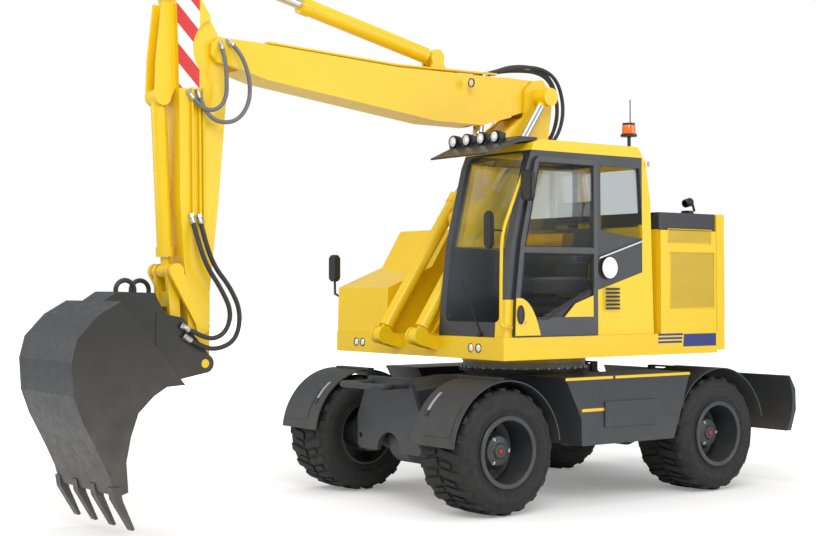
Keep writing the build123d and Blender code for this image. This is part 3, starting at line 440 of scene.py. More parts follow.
def turned(profile, origin, axis, n=32):
    """A profile of (radius, height) turned about the axis, in which radius 0 is a single point."""
    place = frame_at(origin, axis)
    verts, rings, faces = [], [], []
    for r, h in profile:
        count = n if r > 1e-6 else 1
        rings.append(list(range(len(verts), len(verts) + count)))
        for k in range(count):
            a = 2 * math.pi * k / n
            verts.append(place @ Vector((r * math.cos(a), r * math.sin(a), h)))
    for p, q in zip(rings, rings[1:]):
        for k in range(n):
            j = (k + 1) % n
            if len(p) == 1:
                faces.append((p[0], q[j], q[k]))
            elif len(q) == 1:
                faces.append((p[k], p[j], q[0]))
            else:
                faces.append((p[k], p[j], q[j], q[k]))
    return verts, faces


def joined(shapes):
    verts, faces = [], []
    for v, f in shapes:
        n = len(verts)
        verts += list(v)
        faces += [tuple(i + n for i in face) for face in f]
    return verts, faces


def bolt(origin, axis, r, h):
    """A six-sided bolt head on its washer."""
    washer = [(r * 1.45, -0.001), (r * 1.45, 0.002), (0, 0.002)]
    head = [(r, 0.002), (r, h * 0.85), (r * 0.86, h), (0, h)]
    return joined([turned(washer, origin, axis, 16), turned(head, origin, axis, 6)])


def plate(points, thick, origin, along=FORWARD, across=UP):
    """A flat outline of (along, across) points, thickened to the machine's right unless turned."""
    u, v = Vector(along), Vector(across)
    low = [origin + u * a + v * b for a, b in points]
    verts = low + [p + u.cross(v) * thick for p in low]
    k = len(points)
    sides = [(i, (i + 1) % k, k + (i + 1) % k, k + i) for i in range(k)]
    return verts, [tuple(range(k))[::-1], tuple(range(k, 2 * k))] + sides


def block(name, centre, size, mat, body, bevel=0.004):
    """A clamp or pad with rounded edges."""
    x, y, z = (v / 2 for v in size)
    outline = [(-x, z), (x, z), (x, -z), (-x, -z)]
    return piece(name, plate(outline, 2 * y, centre - Vector((0, y, 0))), mat, body, bevel=bevel)


def pipe(name, points, r, mat, body, closed=False):
    """A round pipe through the points, mitred at its bends, or a closed seal."""
    curve = bpy.data.curves.new(name, "CURVE")
    curve.dimensions, curve.bevel_depth = "3D", r
    curve.bevel_resolution, curve.use_fill_caps = (2, False) if closed else (3, True)
    line = curve.splines.new("POLY")
    line.points.add(len(points) - 1)
    for p, q in zip(line.points, points):
        p.co = (*q, 1)
    line.use_cyclic_u = closed
    curve.materials.append(mat)
    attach(link(bpy.data.objects.new(name, curve)), body)


# Tyres with angled block lugs, shoulder ribs and ringed side walls

TYRE_WALL = [(0.290, 0.250), (0.292, 0.268), (0.306, 0.272), (0.330, 0.268), (0.345, 0.276), (0.352, 0.284),
             (0.360, 0.282), (0.395, 0.293), (0.420, 0.2945), (0.428, 0.290), (0.452, 0.288), (0.475, 0.276),
             (0.496, 0.258), (0.506, 0.238), (0.511, 0.190)]
TYRE_CROWN, LUG_R, SMALL_LUG_R, LUG_FOOT_R = 0.513, 0.5335, 0.529, 0.495
LUGS, TYRE_STEPS = 20, 96
# outlines of the lugs, (round, across) from the tread's middle
LONG_LUG = [(-0.050, 0.012), (0.006, 0.006), (0.030, 0.110), (0.058, 0.215), (0.056, 0.238), (-0.002, 0.240),
            (-0.014, 0.215), (-0.030, 0.120)]
SMALL_LUG = [(0.052, 0.030), (0.086, 0.026), (0.104, 0.100), (0.112, 0.150), (0.078, 0.156), (0.066, 0.110)]
RIB, SHOULDER = [(0.010, 0.244), (0.050, 0.244), (0.048, 0.284), (0.012, 0.284)], 0.244
# radius and depth below the widest place of the side wall's ring lines
WALL_RINGS = ((0.318, 0.0262), (0.366, 0.0118), (0.440, 0.0062))


def on_tread(u, v, r):
    """A point of a lug, dropped to the tread's roundness."""
    return u, v, r - 0.5 * u * u / r - max(0.0, v - 0.17) * 0.13


def make_tyre(name, body, origin, outward, mats):
    section = [(r, -w) for r, w in TYRE_WALL] + [(TYRE_CROWN, 0.0)] + TYRE_WALL[::-1]
    place = frame_at(origin, outward)
    long_lug = [on_tread(u, v, LUG_R) for u, v in LONG_LUG] + [
        on_tread(u * 1.10 - 0.001, v + (0.022 if v > 0.2 else 0), LUG_FOOT_R) for u, v in LONG_LUG]
    small_lug = [on_tread(u, v, SMALL_LUG_R) for u, v in SMALL_LUG] + [
        on_tread(u * 1.02, v, LUG_FOOT_R) for u, v in SMALL_LUG]
    rib = [(u, v, 0.512 - (v - SHOULDER) * 1.25) for u, v in RIB] + [
        (u, v - 0.03, 0.47 - (v - SHOULDER)) for u, v in RIB]

    def lug(angle, side, points):
        """A block between the outer outline and the inner one, the points' two halves."""
        turn = place @ Matrix.Rotation(angle, 4, "Z")
        m = len(points) // 2
        faces = [tuple(range(m)), tuple(range(2 * m - 1, m - 1, -1))]
        faces += [(i, m + i, m + (i + 1) % m, (i + 1) % m) for i in range(m)]
        return [turn @ Vector((r, u, v * side)) for u, v, r in points], faces

    parts = [turned(section, origin, outward, TYRE_STEPS)]
    for k in range(LUGS):
        for side, shift in ((1, 0.0), (-1, 0.5)):
            angle = 2 * math.pi * (k + shift) / LUGS
            parts += [lug(angle, side, points) for points in (long_lug, small_lug, rib)]
    tyre = piece(name, joined(parts), mats["rubber"], body)
    carcass = (len(section) - 1) * TYRE_STEPS
    tyre.data.polygons.foreach_set("use_smooth", [i < carcass for i in range(len(tyre.data.polygons))])
    half = TYRE_W / 2
    rings = [turned([(r, half - d), (r + 0.004, half - d + 0.0035), (r + 0.008, half - d)], origin, outward,
                    TYRE_STEPS) for r, d in WALL_RINGS]
    piece(name + "_rings", joined(rings), mats["rubber"], body, smooth=True)
    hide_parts(name)


# Hubs: wheel nuts, bright plugs, cap with the red plug, and the rim's lock ring

NUTS, NUT_CIRCLE, NUT_FOOT, NUT_R, NUT_H = 10, 0.195, -0.017, 0.013, 0.030
PLUGS, PLUG_CIRCLE, PLUG_FOOT, PLUG_R, PLUG_H = 3, 0.108, 0.156, 0.013, 0.014
PLUG_TURN = 0.08
CAP = [(0.060, 0.170), (0.060, 0.182), (0.054, 0.186), (0.030, 0.186), (0.028, 0.182), (0, 0.182)]
RED_PLUG = [(0.024, 0.180), (0.024, 0.189), (0.018, 0.192), (0, 0.192)]
LOCK_RING = [(0.262, 0.268), (0.262, 0.288), (0.268, 0.293), (0.296, 0.293), (0.303, 0.286), (0.303, 0.276),
             (0.290, 0.270)]


def make_hub(wheel, body, origin, outward, mats):
    place = frame_at(origin, outward)

    def bolts(count, circle, foot, r, h, shift=0.0):
        angles = [2 * math.pi * (k / count + shift) for k in range(count)]
        return joined([bolt(place @ Vector((circle * math.cos(a), circle * math.sin(a), foot)), outward, r, h)
                       for a in angles])

    nuts = bolts(NUTS, NUT_CIRCLE, NUT_FOOT, NUT_R, NUT_H)
    plugs = bolts(PLUGS, PLUG_CIRCLE, PLUG_FOOT, PLUG_R, PLUG_H, PLUG_TURN)
    piece(f"wheel_nuts_{wheel}", nuts, mats["charcoal"], body)
    piece(f"hub_plugs_{wheel}", plugs, mats["steel"], body)
    piece(f"hub_cap_{wheel}", turned(CAP, origin, outward), mats["charcoal"], body)
    piece(f"hub_red_{wheel}", turned(RED_PLUG, origin, outward, 6), mats["red"], body)
    piece(f"lock_ring_{wheel}", turned(LOCK_RING, origin, outward, 64), mats["charcoal"], body)


def make_wheels(mats):
    for end, x in AXLES.items():
        for hand, sign in HANDS.items():
            wheel = f"{end}_{hand}"
            origin, outward = at(x, sign * WHEEL_Y, TYRE_R), (0, sign, 0)
            make_tyre(f"tyre_{wheel}", f"wheel_{wheel}", origin, outward, mats)
            make_hub(wheel, f"wheel_{wheel}", origin, outward, mats)


# Lamps, beacon dome and reflector

ROOF_LAMP_X, ROOF_LAMP_Z, ROOF_LAMP_Y = 1.232, 3.170, (0.450, 0.630, 0.820, 1.000)
ROOF_LAMP = [(0.040, -0.075), (0.052, -0.065), (0.056, -0.02), (0.056, 0.0)]
FRONT_LAMPS, FRONT_LAMP_Z = ((1.3270, 0.805), (1.3340, 0.909), (1.3000, -0.805), (1.2960, -0.909)), 1.38
BEACON = [(0.061, 0.024), (0.063, 0.032), (0.061, 0.085), (0.057, 0.112), (0.047, 0.124), (0.025, 0.128),
          (0, 0.129)]


def lens(name, origin, r, body, mats):
    """A crowned lens that looks forward, in its black bezel."""
    angles = [math.pi / 2 * k / 6 for k in range(6)]
    dome = [(r * math.cos(a), 0.012 * math.sin(a)) for a in angles] + [(0, 0.012)]
    bezel = [(r - 0.001, -0.004), (r + 0.006, -0.004), (r + 0.006, 0.006), (r + 0.003, 0.009),
             (r - 0.001, 0.006), (r - 0.001, -0.004)]
    piece(name, turned(dome, origin, FORWARD, 36), mats["lens"], body, smooth=True)
    piece(name + "_bezel", turned(bezel, origin, FORWARD, 36), mats["black"], body)


def make_lamps(mats):
    for k, y in enumerate(ROOF_LAMP_Y):
        housing = turned(ROOF_LAMP, at(ROOF_LAMP_X, y, ROOF_LAMP_Z), FORWARD)
        piece(f"roof_lamp_body_{k}", housing, mats["black"], "upper", smooth=True)
        lens(f"roof_lamp_{k}", at(ROOF_LAMP_X + 0.0005, y, ROOF_LAMP_Z), 0.047, "upper", mats)
    for k, (x, y) in enumerate(FRONT_LAMPS):
        lens(f"front_lamp_{k}", at(x, y, FRONT_LAMP_Z), 0.034, "upper", mats)
    lens("boom_lamp", at(0.853, 0.255, 3.745), 0.036, "boom_body", mats)
    dome = turned(BEACON, at(-0.50, 0.90, CAB_TOP + 0.135), UP, 40)
    piece("beacon_dome", dome, mats["orange"], "upper", smooth=True)
    angles = [2 * math.pi * k / 28 for k in range(28)]
    reflector = [(0.014 * math.cos(a), 0.026 * math.sin(a)) for a in angles]
    piece("reflector_door", plate(reflector, 0.006, at(-0.385, 1.2495, 3.0)), mats["orange"], "upper")


# Stripes, disc, blank plate and the cab side's trim

DISC_X, DISC_Y, DISC_Z, DISC_R = 0.113, CAB_OUT + 0.026, 2.065, 0.094
DOOR_FACE = CAB_OUT + 0.0385
VENT_FACE = CAB_OUT + 0.0255
# yellow edges of the step boxes: spans in x and z
STEP_EDGES = {"a": ((-0.89, 0.075), (1.096, 1.120)), "b": ((0.105, 0.675), (1.096, 1.120)),
              "c": ((0.105, 0.482), (0.822, 0.848))}
BLANK_PLATE = [(-1.285, 1.468), (-0.842, 1.468), (-0.832, 1.352), (-1.285, 1.352)]
DOOR_CORNER = [(0.978, 1.580), (1.008, 1.652), (1.045, 1.716), (1.090, 1.765), (1.140, 1.796), (1.190, 1.806),
               (1.224, 1.800), (1.236, 1.490), (0.948, 1.490)]
SILVER_LINE = [(0.238, 2.142), (0.238, 2.156), (-0.318, 2.318), (-0.318, 2.304)]
SEALS = {"seal_high": [(0.320, 2.240), (1.115, 2.240), (0.950, 2.950), (0.320, 2.950)],
         "seal_low": [(0.320, 1.880), (0.862, 1.625), (1.160, 1.640), (1.165, 1.800), (1.120, 2.180),
                      (0.320, 2.180)]}


def strip(name, x, z, y, mat, body, thick=0.002, sign=1):
    """A thin upright bar that looks to the left, or to the right for sign -1."""
    points = [(x[0], z[0]), (x[0], z[1]), (x[1], z[1]), (x[1], z[0])]
    if sign < 0:
        points = [(x[0], z[0]), (x[1], z[0]), (x[1], z[1]), (x[0], z[1])]
    piece(name, plate(points, thick, at(0, y, 0)), mat, body, bevel=0.0006, segments=1)


def make_trim(mats):
    for hand, sign in HANDS.items():
        for key, (x, z) in STEP_EDGES.items():
            strip(f"step_edge_{key}_{hand}", x, z, sign * STEP_FACE, mats["yellow"], "chassis", sign=sign)
    for k in range(3):
        z = 1.388 + 0.034 * k
        strip(f"stripe_left_{k}", (-0.815 - 0.008 * k, -0.50), (z, z + 0.020), REAR_FACE, mats["blue"],
              "upper")
    piece("blank_plate", plate(BLANK_PLATE, 0.002, at(0, REAR_FACE, 0)), mats["blue"], "upper", bevel=0.0005,
          segments=1)
    centre = at(DISC_X, DISC_Y, DISC_Z)
    disc = [(DISC_R, 0), (DISC_R, 0.002), (DISC_R - 0.004, 0.003), (0, 0.003)]
    rim = [(DISC_R, 0), (DISC_R + 0.007, 0), (DISC_R + 0.007, 0.002), (DISC_R, 0.0025)]
    piece("white_disc", turned(disc, centre, LEFT, 48), mats["white"], "upper")
    piece("disc_rim", turned(rim, centre, LEFT, 48), mats["black"], "upper")


def make_cab_side(mats):
    # front corner panel of the door with its oval recess, handle and lock
    door = "cab_door_body"
    piece("door_corner", plate(DOOR_CORNER, 0.004, at(0, DOOR_FACE, 0)), mats["yellow"], door, bevel=0.0012)
    y = DOOR_FACE + 0.004
    dish = [(1.0, 0), (1.0, 0.002), (0.86, 0.0034), (0.80, 0.001), (0, 0.0005)]
    verts, faces = turned(dish, Vector((0, 0, 0)), LEFT, 40)
    verts = [Vector((v.x * 0.042, v.y, v.z * 0.080)) + at(1.178, y, 1.665) for v in verts]
    piece("door_recess", (verts, faces), mats["black"], door)
    handle = [(-0.010, -0.055), (-0.010, 0.055), (0.010, 0.055), (0.010, -0.055)]
    piece("door_handle", plate(handle, 0.006, at(1.182, y + 0.001, 1.665)), mats["charcoal"], door,
          bevel=0.0025)
    lock = [(0.011, 0), (0.011, 0.003), (0.008, 0.005), (0, 0.004)]
    piece("door_lock", turned(lock, at(1.12, y, 1.600), LEFT, 20), mats["steel"], door)
    # dark vent slats behind the door
    for k in range(6):
        z = 1.700 + 0.034 * k
        strip(f"vent_slat_{k}", (-0.010, 0.165), (z, z + 0.018), VENT_FACE + 0.001, mats["black"], "upper",
              0.003)
    # silver line between the dark window field and the panel below it
    piece("silver_line", plate(SILVER_LINE, 0.002, at(0, VENT_FACE, 0)), mats["steel"], "upper")
    # black seals round the door's panes
    for name, points in SEALS.items():
        pipe(name, [at(x, CAB_OUT + 0.031, z) for x, z in points], 0.006, mats["black"], door, closed=True)


# Hoses, each one smooth tube guided by its control points and bent across the joint that it crosses

ARM_HOSE_R, TOOL_HOSE_R, KNEE_HOSE_R = 0.017, 0.019, 0.018
ARM_HOSES = {
    "arm_hose_a": [(3.34, 0.178, 3.870), (3.29, 0.25, 3.80), (3.22, 0.29, 3.60), (3.22, 0.30, 3.38),
                   (3.33, 0.29, 3.22), (3.50, 0.26, 3.20), (3.60, 0.22, 3.30), (3.62, 0.164, 3.44)],
    "arm_hose_b": [(3.42, 0.178, 3.840), (3.42, 0.24, 3.74), (3.42, 0.27, 3.58), (3.42, 0.27, 3.40),
                   (3.50, 0.26, 3.30), (3.62, 0.235, 3.30), (3.69, 0.164, 3.42)]}
TOOL_HOSES = {
    "tool_hose_a": [(3.60, 0.164, 2.44), (3.59, 0.22, 2.28), (3.52, 0.25, 2.06), (3.38, 0.26, 1.90),
                    (3.27, 0.25, 1.70), (3.30, 0.24, 1.48), (3.46, 0.235, 1.40), (3.62, 0.235, 1.42),
                    (3.74, 0.208, 1.50)],
    "tool_hose_b": [(3.67, 0.164, 2.44), (3.66, 0.23, 2.28), (3.61, 0.29, 2.06), (3.48, 0.30, 1.88),
                    (3.38, 0.29, 1.70), (3.42, 0.28, 1.54), (3.54, 0.275, 1.48), (3.66, 0.26, 1.52),
                    (3.76, 0.208, 1.58)]}
# y and sag of each hose behind the knee
KNEE_HOSES = ((0.13, 0.0), (0.08, 0.03), (0.03, -0.02))


def tube(name, points, r):
    """The mesh of a smooth curve guided by the points, a bare line for r 0."""
    curve = bpy.data.curves.new(name, "CURVE")
    curve.dimensions, curve.bevel_depth, curve.bevel_resolution = "3D", r, 3
    curve.resolution_u = 12
    line = curve.splines.new("NURBS")
    line.points.add(len(points) - 1)
    for p, q in zip(line.points, points):
        p.co = (*q, 1)
    line.order_u, line.use_endpoint_u = 3, True
    return bpy.data.meshes.new_from_object(bpy.data.objects.new(name + "_line", curve))


def hose(name, points, r, mat, fitting, bodies):
    """A tube of radius r from its first point on bodies[0] to its last one on bodies[1]."""
    points = [at(*q) for q in points]
    path = [v.co.copy() for v in tube(name, points, 0.0).vertices]
    mesh = tube(name, points, r)
    mesh.name = name
    mesh.materials.clear()
    mesh.materials.append(mat)
    mesh.polygons.foreach_set("use_smooth", [True] * len(mesh.polygons))
    obj = link(bpy.data.objects.new(name, mesh))
    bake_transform(obj)
    sleeve = [(r * 1.2, -0.02), (r * 1.3, 0.0), (r * 1.3, 0.035), (r * 1.08, 0.05)]
    nut = [(r * 1.5, -0.03), (r * 1.5, -0.005), (r * 1.3, -0.002)]
    for k, (spot, after) in enumerate(((points[0], points[1]), (points[-1], points[-2]))):
        way = after - spot
        shape = joined([turned(sleeve, spot, way, 20), turned(nut, spot, way, 6)])
        piece(f"{name}_end_{k}", shape, fitting, bodies[k])


def make_hoses(mats):
    for name, points in ARM_HOSES.items():
        hose(name, points, ARM_HOSE_R, mats["guard"], mats["steel"], ("boom_body", "arm_body"))
    for name, points in TOOL_HOSES.items():
        hose(name, points, TOOL_HOSE_R, mats["hose"], mats["steel"], ("arm_body", "bucket_body"))
    for k, (y, d) in enumerate(KNEE_HOSES):
        points = [(0.60, y, 3.856), (0.42, y, 3.90), (0.16, y, 3.97 - d), (-0.14, y, 3.98 - d),
                  (-0.34 + d, y, 3.88 - d), (-0.42 + d, y, 3.62), (-0.36 + d, y, 3.38), (-0.22, y, 3.24),
                  (-0.03, y, 3.17)]
        hose(f"knee_hose_{k}", points, KNEE_HOSE_R, mats["hose"], mats["steel"],
             ("boom_body", "base_boom_body"))


# Pipes and clamps, lifting loops, slew bolts, fender straps, screens, antenna and camera

# curved strips on the front fenders: name, radius, y span, angle span in degrees, material
FENDER_STRIPS = (("strap", 0.5945, (0.800, 0.832), (34, 54), "alu"),
                 ("strap_end", 0.597, (0.795, 0.837), (30, 35), "hose"),
                 ("fender_panel", 0.5935, (0.86, 1.20), (14, 44), "plastic"))
LOOP_R, LOOP_H = 0.078, 0.075


def make_pipes(mats):
    yellow = mats["yellow"]
    for k, x in enumerate((3.560, 3.596, 3.660)):
        pipe(f"arm_pipe_{k}", [at(x + 0.014, 0.168, 3.48), at(x, 0.168, 2.42)], 0.012, yellow, "arm_body")
    for k, z in enumerate((3.44, 3.08, 2.72, 2.44)):
        centre = at(3.61 + (z - 2.42) * 0.0132, 0.164, z)
        block(f"arm_clamp_{k}", centre, (0.150, 0.032, 0.040), yellow, "arm_body")
    block("valve_block", at(3.60, 0.178, 3.50), (0.150, 0.060, 0.120), yellow, "arm_body", 0.006)
    block("black_connector", at(3.52, 0.172, 3.17), (0.110, 0.045, 0.060), mats["black"], "arm_body", 0.006)
    for k in range(3):
        y = 0.153 - 0.026 * k
        pipe(f"boom_pipe_{k}", [at(0.46, y, 3.868), at(1.63, y, 3.850), at(2.96, y, 3.912)], 0.010, yellow,
             "boom_body")
    for k, (x, z) in enumerate(((0.50, 3.850), (0.90, 3.848), (1.60, 3.838), (2.25, 3.862), (2.88, 3.892))):
        block(f"boom_clamp_{k}", at(x, 0.127, z), (0.046, 0.080, 0.056), yellow, "boom_body")


def bent_strip(centre, sign, r, ys, angles):
    """A strip curved about an axle, from one angle to the other."""
    n = 12
    verts = []
    for i in range(n + 1):
        a = math.radians(angles[0] + (angles[1] - angles[0]) * i / n)
        for radius in (r - 0.004, r + 0.003):
            verts += [centre + Vector((radius * math.cos(a), sign * y, radius * math.sin(a))) for y in ys]
    faces = [(0, 2, 3, 1), (4 * n, 4 * n + 1, 4 * n + 3, 4 * n + 2)]
    for b in range(0, 4 * n, 4):
        faces += [(b, b + 1, b + 5, b + 4), (b + 2, b + 6, b + 7, b + 3), (b, b + 4, b + 6, b + 2),
                  (b + 1, b + 3, b + 7, b + 5)]
    return verts, faces


def make_details(mats):
    make_pipes(mats)
    black = mats["black"]
    for k, (x, y) in enumerate(((4.235, 0.13), (3.975, -0.13))):
        angles = [math.pi * i / 27 for i in range(28)]
        bow = [at(x + LOOP_R * math.cos(a), y, 1.872 + LOOP_H * math.sin(a)) for a in angles]
        pipe(f"lifting_loop_{k}", [at(x + LOOP_R, y, 1.80)] + bow + [at(x - LOOP_R, y, 1.80)], 0.019,
             mats["bucket"], "bucket_body")
    angles = [2 * math.pi * k / 36 for k in range(36)]
    heads = [bolt(at(0.593 * math.cos(a), 0.593 * math.sin(a), 1.145), UP, 0.011, 0.016) for a in angles]
    piece("slew_bolts", joined(heads), mats["steel"], "chassis")
    for hand, sign in HANDS.items():
        for name, r, ys, span, mat in FENDER_STRIPS:
            shape = bent_strip(at(AXLES["front"], 0, TYRE_R), sign, r, ys, span)
            piece(f"{name}_{hand}", shape, mats[mat], f"knuckle_{hand}_body")
    for name, (x, z) in SCREENS.items():
        corners = [(x[0], z[0]), (x[1], z[0]), (x[1], z[1]), (x[0], z[1])]
        pipe(name, [at(a, REAR_FACE + 0.001, b) for a, b in corners], 0.006, mats["yellow"], "side_door_body",
             closed=True)
    block("door_latch", at(-1.225, 1.248, 1.600), (0.056, 0.012, 0.088), black, "side_door_body")
    pipe("antenna", [at(-0.52, 0.90, 3.160), at(-0.52, 0.90, 3.63)], 0.005, black, "upper")
    block("camera_foot", at(-1.36, 0.93, 2.60), (0.10, 0.09, 0.06), black, "upper", 0.01)
    pipe("camera_arm", [at(-1.36, 0.93, 2.62), at(-1.33, 0.93, 2.70), at(-1.27, 0.93, 2.72)], 0.012, black,
         "upper")
    camera = [(0.030, -0.05), (0.040, -0.045), (0.042, 0.03), (0.034, 0.045), (0, 0.045)]
    piece("camera_head", turned(camera, at(-1.27, 0.93, 2.70), (-1, 0, 0.25), 24), black, "upper",
          smooth=True)


# Panes, panels of the door and mirrors

PANE_THICK = 0.005
FRONT_PANE = ((1.296, 1.585), (1.284, 1.800), (1.224, 2.270), (1.050, 2.930), (0.990, 3.045))
# flat upright panes: outline, y and body
SIDE_PANES = {
    "pane_rear_left": ([(0.205, 2.395), (0.205, 2.955), (-0.285, 2.955), (-0.325, 2.335)], CAB_OUT - 0.020,
                       "upper"),
    "pane_right": ([(-0.295, 2.255), (1.140, 2.255), (0.965, 2.975), (-0.295, 2.975)], CAB_IN + 0.020,
                   "upper"),
    "pane_door_high": ([(0.318, 2.238), (1.117, 2.238), (0.952, 2.952), (0.318, 2.952)], CAB_OUT + 0.013,
                       "cab_door_body"),
    "pane_door_low": ([(0.318, 1.870), (0.850, 1.638), (1.162, 1.638), (1.167, 1.800), (1.122, 2.182),
                       (0.318, 2.182)], CAB_OUT + 0.013, "cab_door_body")}
DOOR_FILL = [(0.318, 1.636), (0.318, 1.890), (0.872, 1.652), (0.872, 1.636)]
DOOR_PANEL = [(0.272, 1.490), (0.272, 1.838), (0.534, 1.755), (0.830, 1.490)]
MIRROR_Y = 1.345
HAND_RAIL = [(1.282, 1.226, 1.560), (1.282, 1.262, 1.560), (1.380, 1.262, 1.575), (1.398, 1.262, 1.600),
             (1.392, 1.262, 1.950), (1.385, 1.262, 2.230), (1.372, 1.262, 2.330), (1.345, 1.262, 2.420),
             (1.150, 1.262, 2.840), (1.120, 1.262, 2.862), (1.078, 1.262, 2.862), (1.070, 1.255, 2.862),
             (1.070, 1.226, 2.862)]


def pane(name, verts, faces, mats, body):
    obj = piece(name, (verts, faces), mats["glass"], body)
    thick = obj.modifiers.new("thickness", "SOLIDIFY")
    thick.thickness, thick.offset = PANE_THICK, 0.0


def make_glass(mats):
    verts = [at(x, y, z) for x, z in FRONT_PANE for y in (0.432, 1.155)]
    faces = [(2 * i, 2 * i + 1, 2 * i + 3, 2 * i + 2) for i in range(len(FRONT_PANE) - 1)]
    pane("pane_front", verts, faces, mats, "upper")
    for name, (points, y, body) in SIDE_PANES.items():
        pane(name, [at(x, y, z) for x, z in points], [tuple(range(len(points)))], mats, body)
    rear = [at(-0.408, 0.445, 2.445), at(-0.408, 1.142, 2.445), at(-0.366, 1.142, 2.955),
            at(-0.366, 0.445, 2.955)]
    pane("pane_rear", rear, [(0, 1, 2, 3)], mats, "upper")


def make_door_panels(mats):
    # dark filler under the slanted edge of the lower pane, then the yellow panel over it
    fill = plate(DOOR_FILL, 0.022, at(0, CAB_OUT + 0.006, 0))
    panel = plate(DOOR_PANEL, 0.008, at(0, CAB_OUT + 0.0295, 0))
    piece("door_fill", fill, mats["charcoal"], "cab_door_body")
    piece("door_panel", panel, mats["yellow"], "cab_door_body", bevel=0.0015)


def slab(name, centre, w, h, d, r, mat):
    """A rounded housing, w across, h high and d deep along X."""
    x, z = w / 2 - r, h / 2 - r
    outline = []
    for cx, cz, first in ((x, z, 0), (-x, z, 90), (-x, -z, 180), (x, -z, 270)):
        angles = [math.radians(first + t) for t in (0, 22, 45, 68, 90)]
        outline += [(cx + r * math.cos(a), cz + r * math.sin(a)) for a in angles]
    shape = plate(outline, d, centre - Vector((d / 2, 0, 0)), LEFT, UP)
    return piece(name, shape, mat, "upper", bevel=min(0.012, d * 0.3), segments=3)


def make_mirrors(mats):
    black = mats["black"]
    left = slab("mirror_left", at(1.165, MIRROR_Y, 2.74), 0.135, 0.26, 0.06, 0.045, black)
    slab("mirror_right", at(1.250, -MIRROR_Y, 2.080), 0.135, 0.26, 0.06, 0.045, black)
    slab("mirror_front", at(1.425, 1.150, 2.370), 0.110, 0.320, 0.042, 0.054, black)
    pipe("mirror_stalk_left", [at(1.10, 1.226, 2.74), at(1.155, 1.30, 2.74)], 0.014, black, "upper")
    pipe("mirror_stalk_right", [at(1.25, -1.236, 1.80), at(1.25, -1.335, 1.83), at(1.25, -1.340, 1.96)],
         0.012, black, "upper")
    pipe("mirror_stalk_front", [at(1.375, 1.262, 2.36), at(1.420, 1.180, 2.37)], 0.008, black, "upper")
    pipe("hand_rail", [at(*q) for q in HAND_RAIL], 0.014, mats["yellow"], "upper")
    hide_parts("mirrors")


# Seat of padded pieces on its bellows

SEAT_Y, BACK_LEAN = 0.78, -14
BELLOWS_X, BELLOWS_Z, BELLOWS_STEP, BELLOWS_FOLDS = 0.25, 1.535, 0.045, 7
BELLOWS_OUT, BELLOWS_IN = 0.20, 0.178


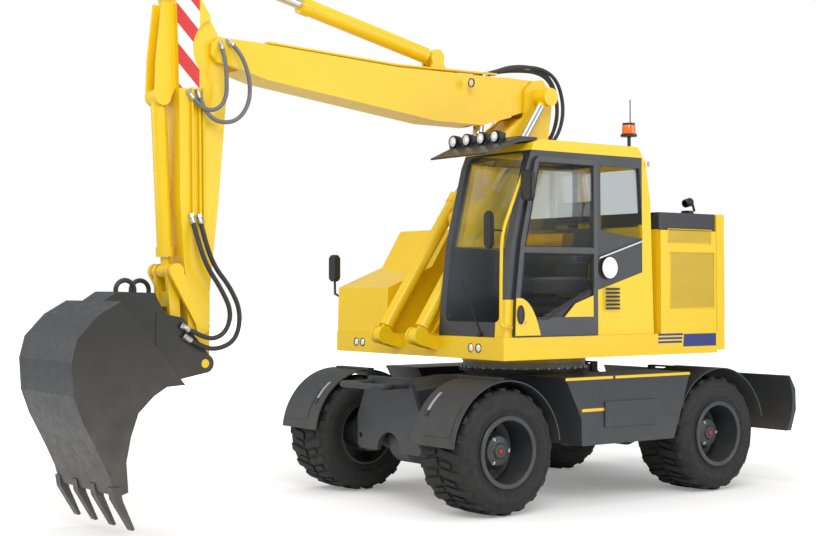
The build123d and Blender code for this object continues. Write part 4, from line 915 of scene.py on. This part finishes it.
def cushion(name, size, place, mats, puff=0.5):
    """A crowned closed pad whose sides pull in between its corners, with two sewn channels."""
    sx, sy, sz = size
    n = 14
    verts, faces, index = [], [], {}
    steps = [-1 + 2 * i / n for i in range(n + 1)]

    def shape(u, v, w):
        pull_u = 1 - 0.10 * (1 - v * v) * (abs(u) ** 6)
        pull_v = 1 - 0.10 * (1 - u * u) * (abs(v) ** 6)
        edge = (1 - abs(u) ** 5) * (1 - abs(v) ** 5)
        groove = 1 - 0.12 * math.exp(-((abs(v) - 0.42) / 0.05) ** 2) * edge
        waist = 1 - 0.05 * w * w
        z = w * sz / 2 * (1 + puff * edge) * groove * (0.72 if w > 0 else 0.6)
        return Vector((u * sx / 2 * pull_u * waist, v * sy / 2 * pull_v * waist, z))

    def corner(u, v, w):
        key = (round(u, 4), round(v, 4), round(w, 4))
        if key not in index:
            index[key] = len(verts)
            verts.append(place @ shape(u, v, w))
        return index[key]

    def sheet(side):
        for a, b in zip(steps, steps[1:]):
            for c, d in zip(steps, steps[1:]):
                faces.append(tuple(corner(*side(u, v)) for u, v in ((a, c), (b, c), (b, d), (a, d))))

    for s in (1, -1):
        sheet(lambda a, b: (a, b, s))
        sheet(lambda a, b: (a, s, b))
        sheet(lambda a, b: (s, a, b))
    obj = piece(name, (verts, faces), mats["fabric"], "upper", smooth=True)
    sub = obj.modifiers.new("smooth", "SUBSURF")
    sub.levels = sub.render_levels = 1
    return obj


def make_seat(mats):
    move = Matrix.Translation
    upright = Matrix.Rotation(math.radians(BACK_LEAN), 4, "Y") @ Matrix.Rotation(math.radians(-90), 4, "Y")
    base = cushion("seat_cushion", (0.50, 0.48, 0.15), move(at(0.27, SEAT_Y, 1.905)), mats)
    cushion("seat_back", (0.56, 0.46, 0.15), move(at(0.035, SEAT_Y, 2.18)) @ upright, mats)
    cushion("head_rest", (0.22, 0.25, 0.09), move(at(-0.02, SEAT_Y, 2.57)) @ upright, mats)
    for k, y in enumerate((0.525, 1.035)):
        cushion(f"arm_rest_{k}", (0.38, 0.07, 0.075), move(at(0.19, y, 2.135)), mats, 0.25)
    verts, faces = [], [(3, 2, 1, 0), tuple(4 * (BELLOWS_FOLDS - 1) + i for i in range(4))]
    for k in range(BELLOWS_FOLDS):
        r = BELLOWS_OUT if k % 2 else BELLOWS_IN
        verts += [at(BELLOWS_X + c * r, SEAT_Y + s * r, BELLOWS_Z + BELLOWS_STEP * k)
                  for c, s in ((1, 1), (-1, 1), (-1, -1), (1, -1))]
    for b in range(0, 4 * (BELLOWS_FOLDS - 1), 4):
        faces += [(b + i, b + (i + 1) % 4, b + 4 + (i + 1) % 4, b + 4 + i) for i in range(4)]
    piece("seat_bellows", (verts, faces), mats["black"], "upper", bevel=0.004)
    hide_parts("operator_seat")


def make_wiper(mats):
    arm = turned([(0.006, 0), (0.006, 0.52), (0.003, 0.524), (0, 0.524)], at(1.325, 0.92, 1.50),
                 (-0.035, -0.36, 0.6), 10)
    hub = turned([(0.020, 0), (0.020, 0.020), (0.012, 0.030), (0, 0.030)], at(1.322, 0.92, 1.495), FORWARD,
                 20)
    piece("wiper_arm", joined([arm, hub]), mats["black"], "upper")


make_stage()
MATS = make_materials()
dress(MATS)
for make in (make_wheels, make_lamps, make_trim, make_cab_side, make_glass, make_door_panels, make_mirrors,
             make_hoses, make_details, make_seat, make_wiper):
    make(MATS)
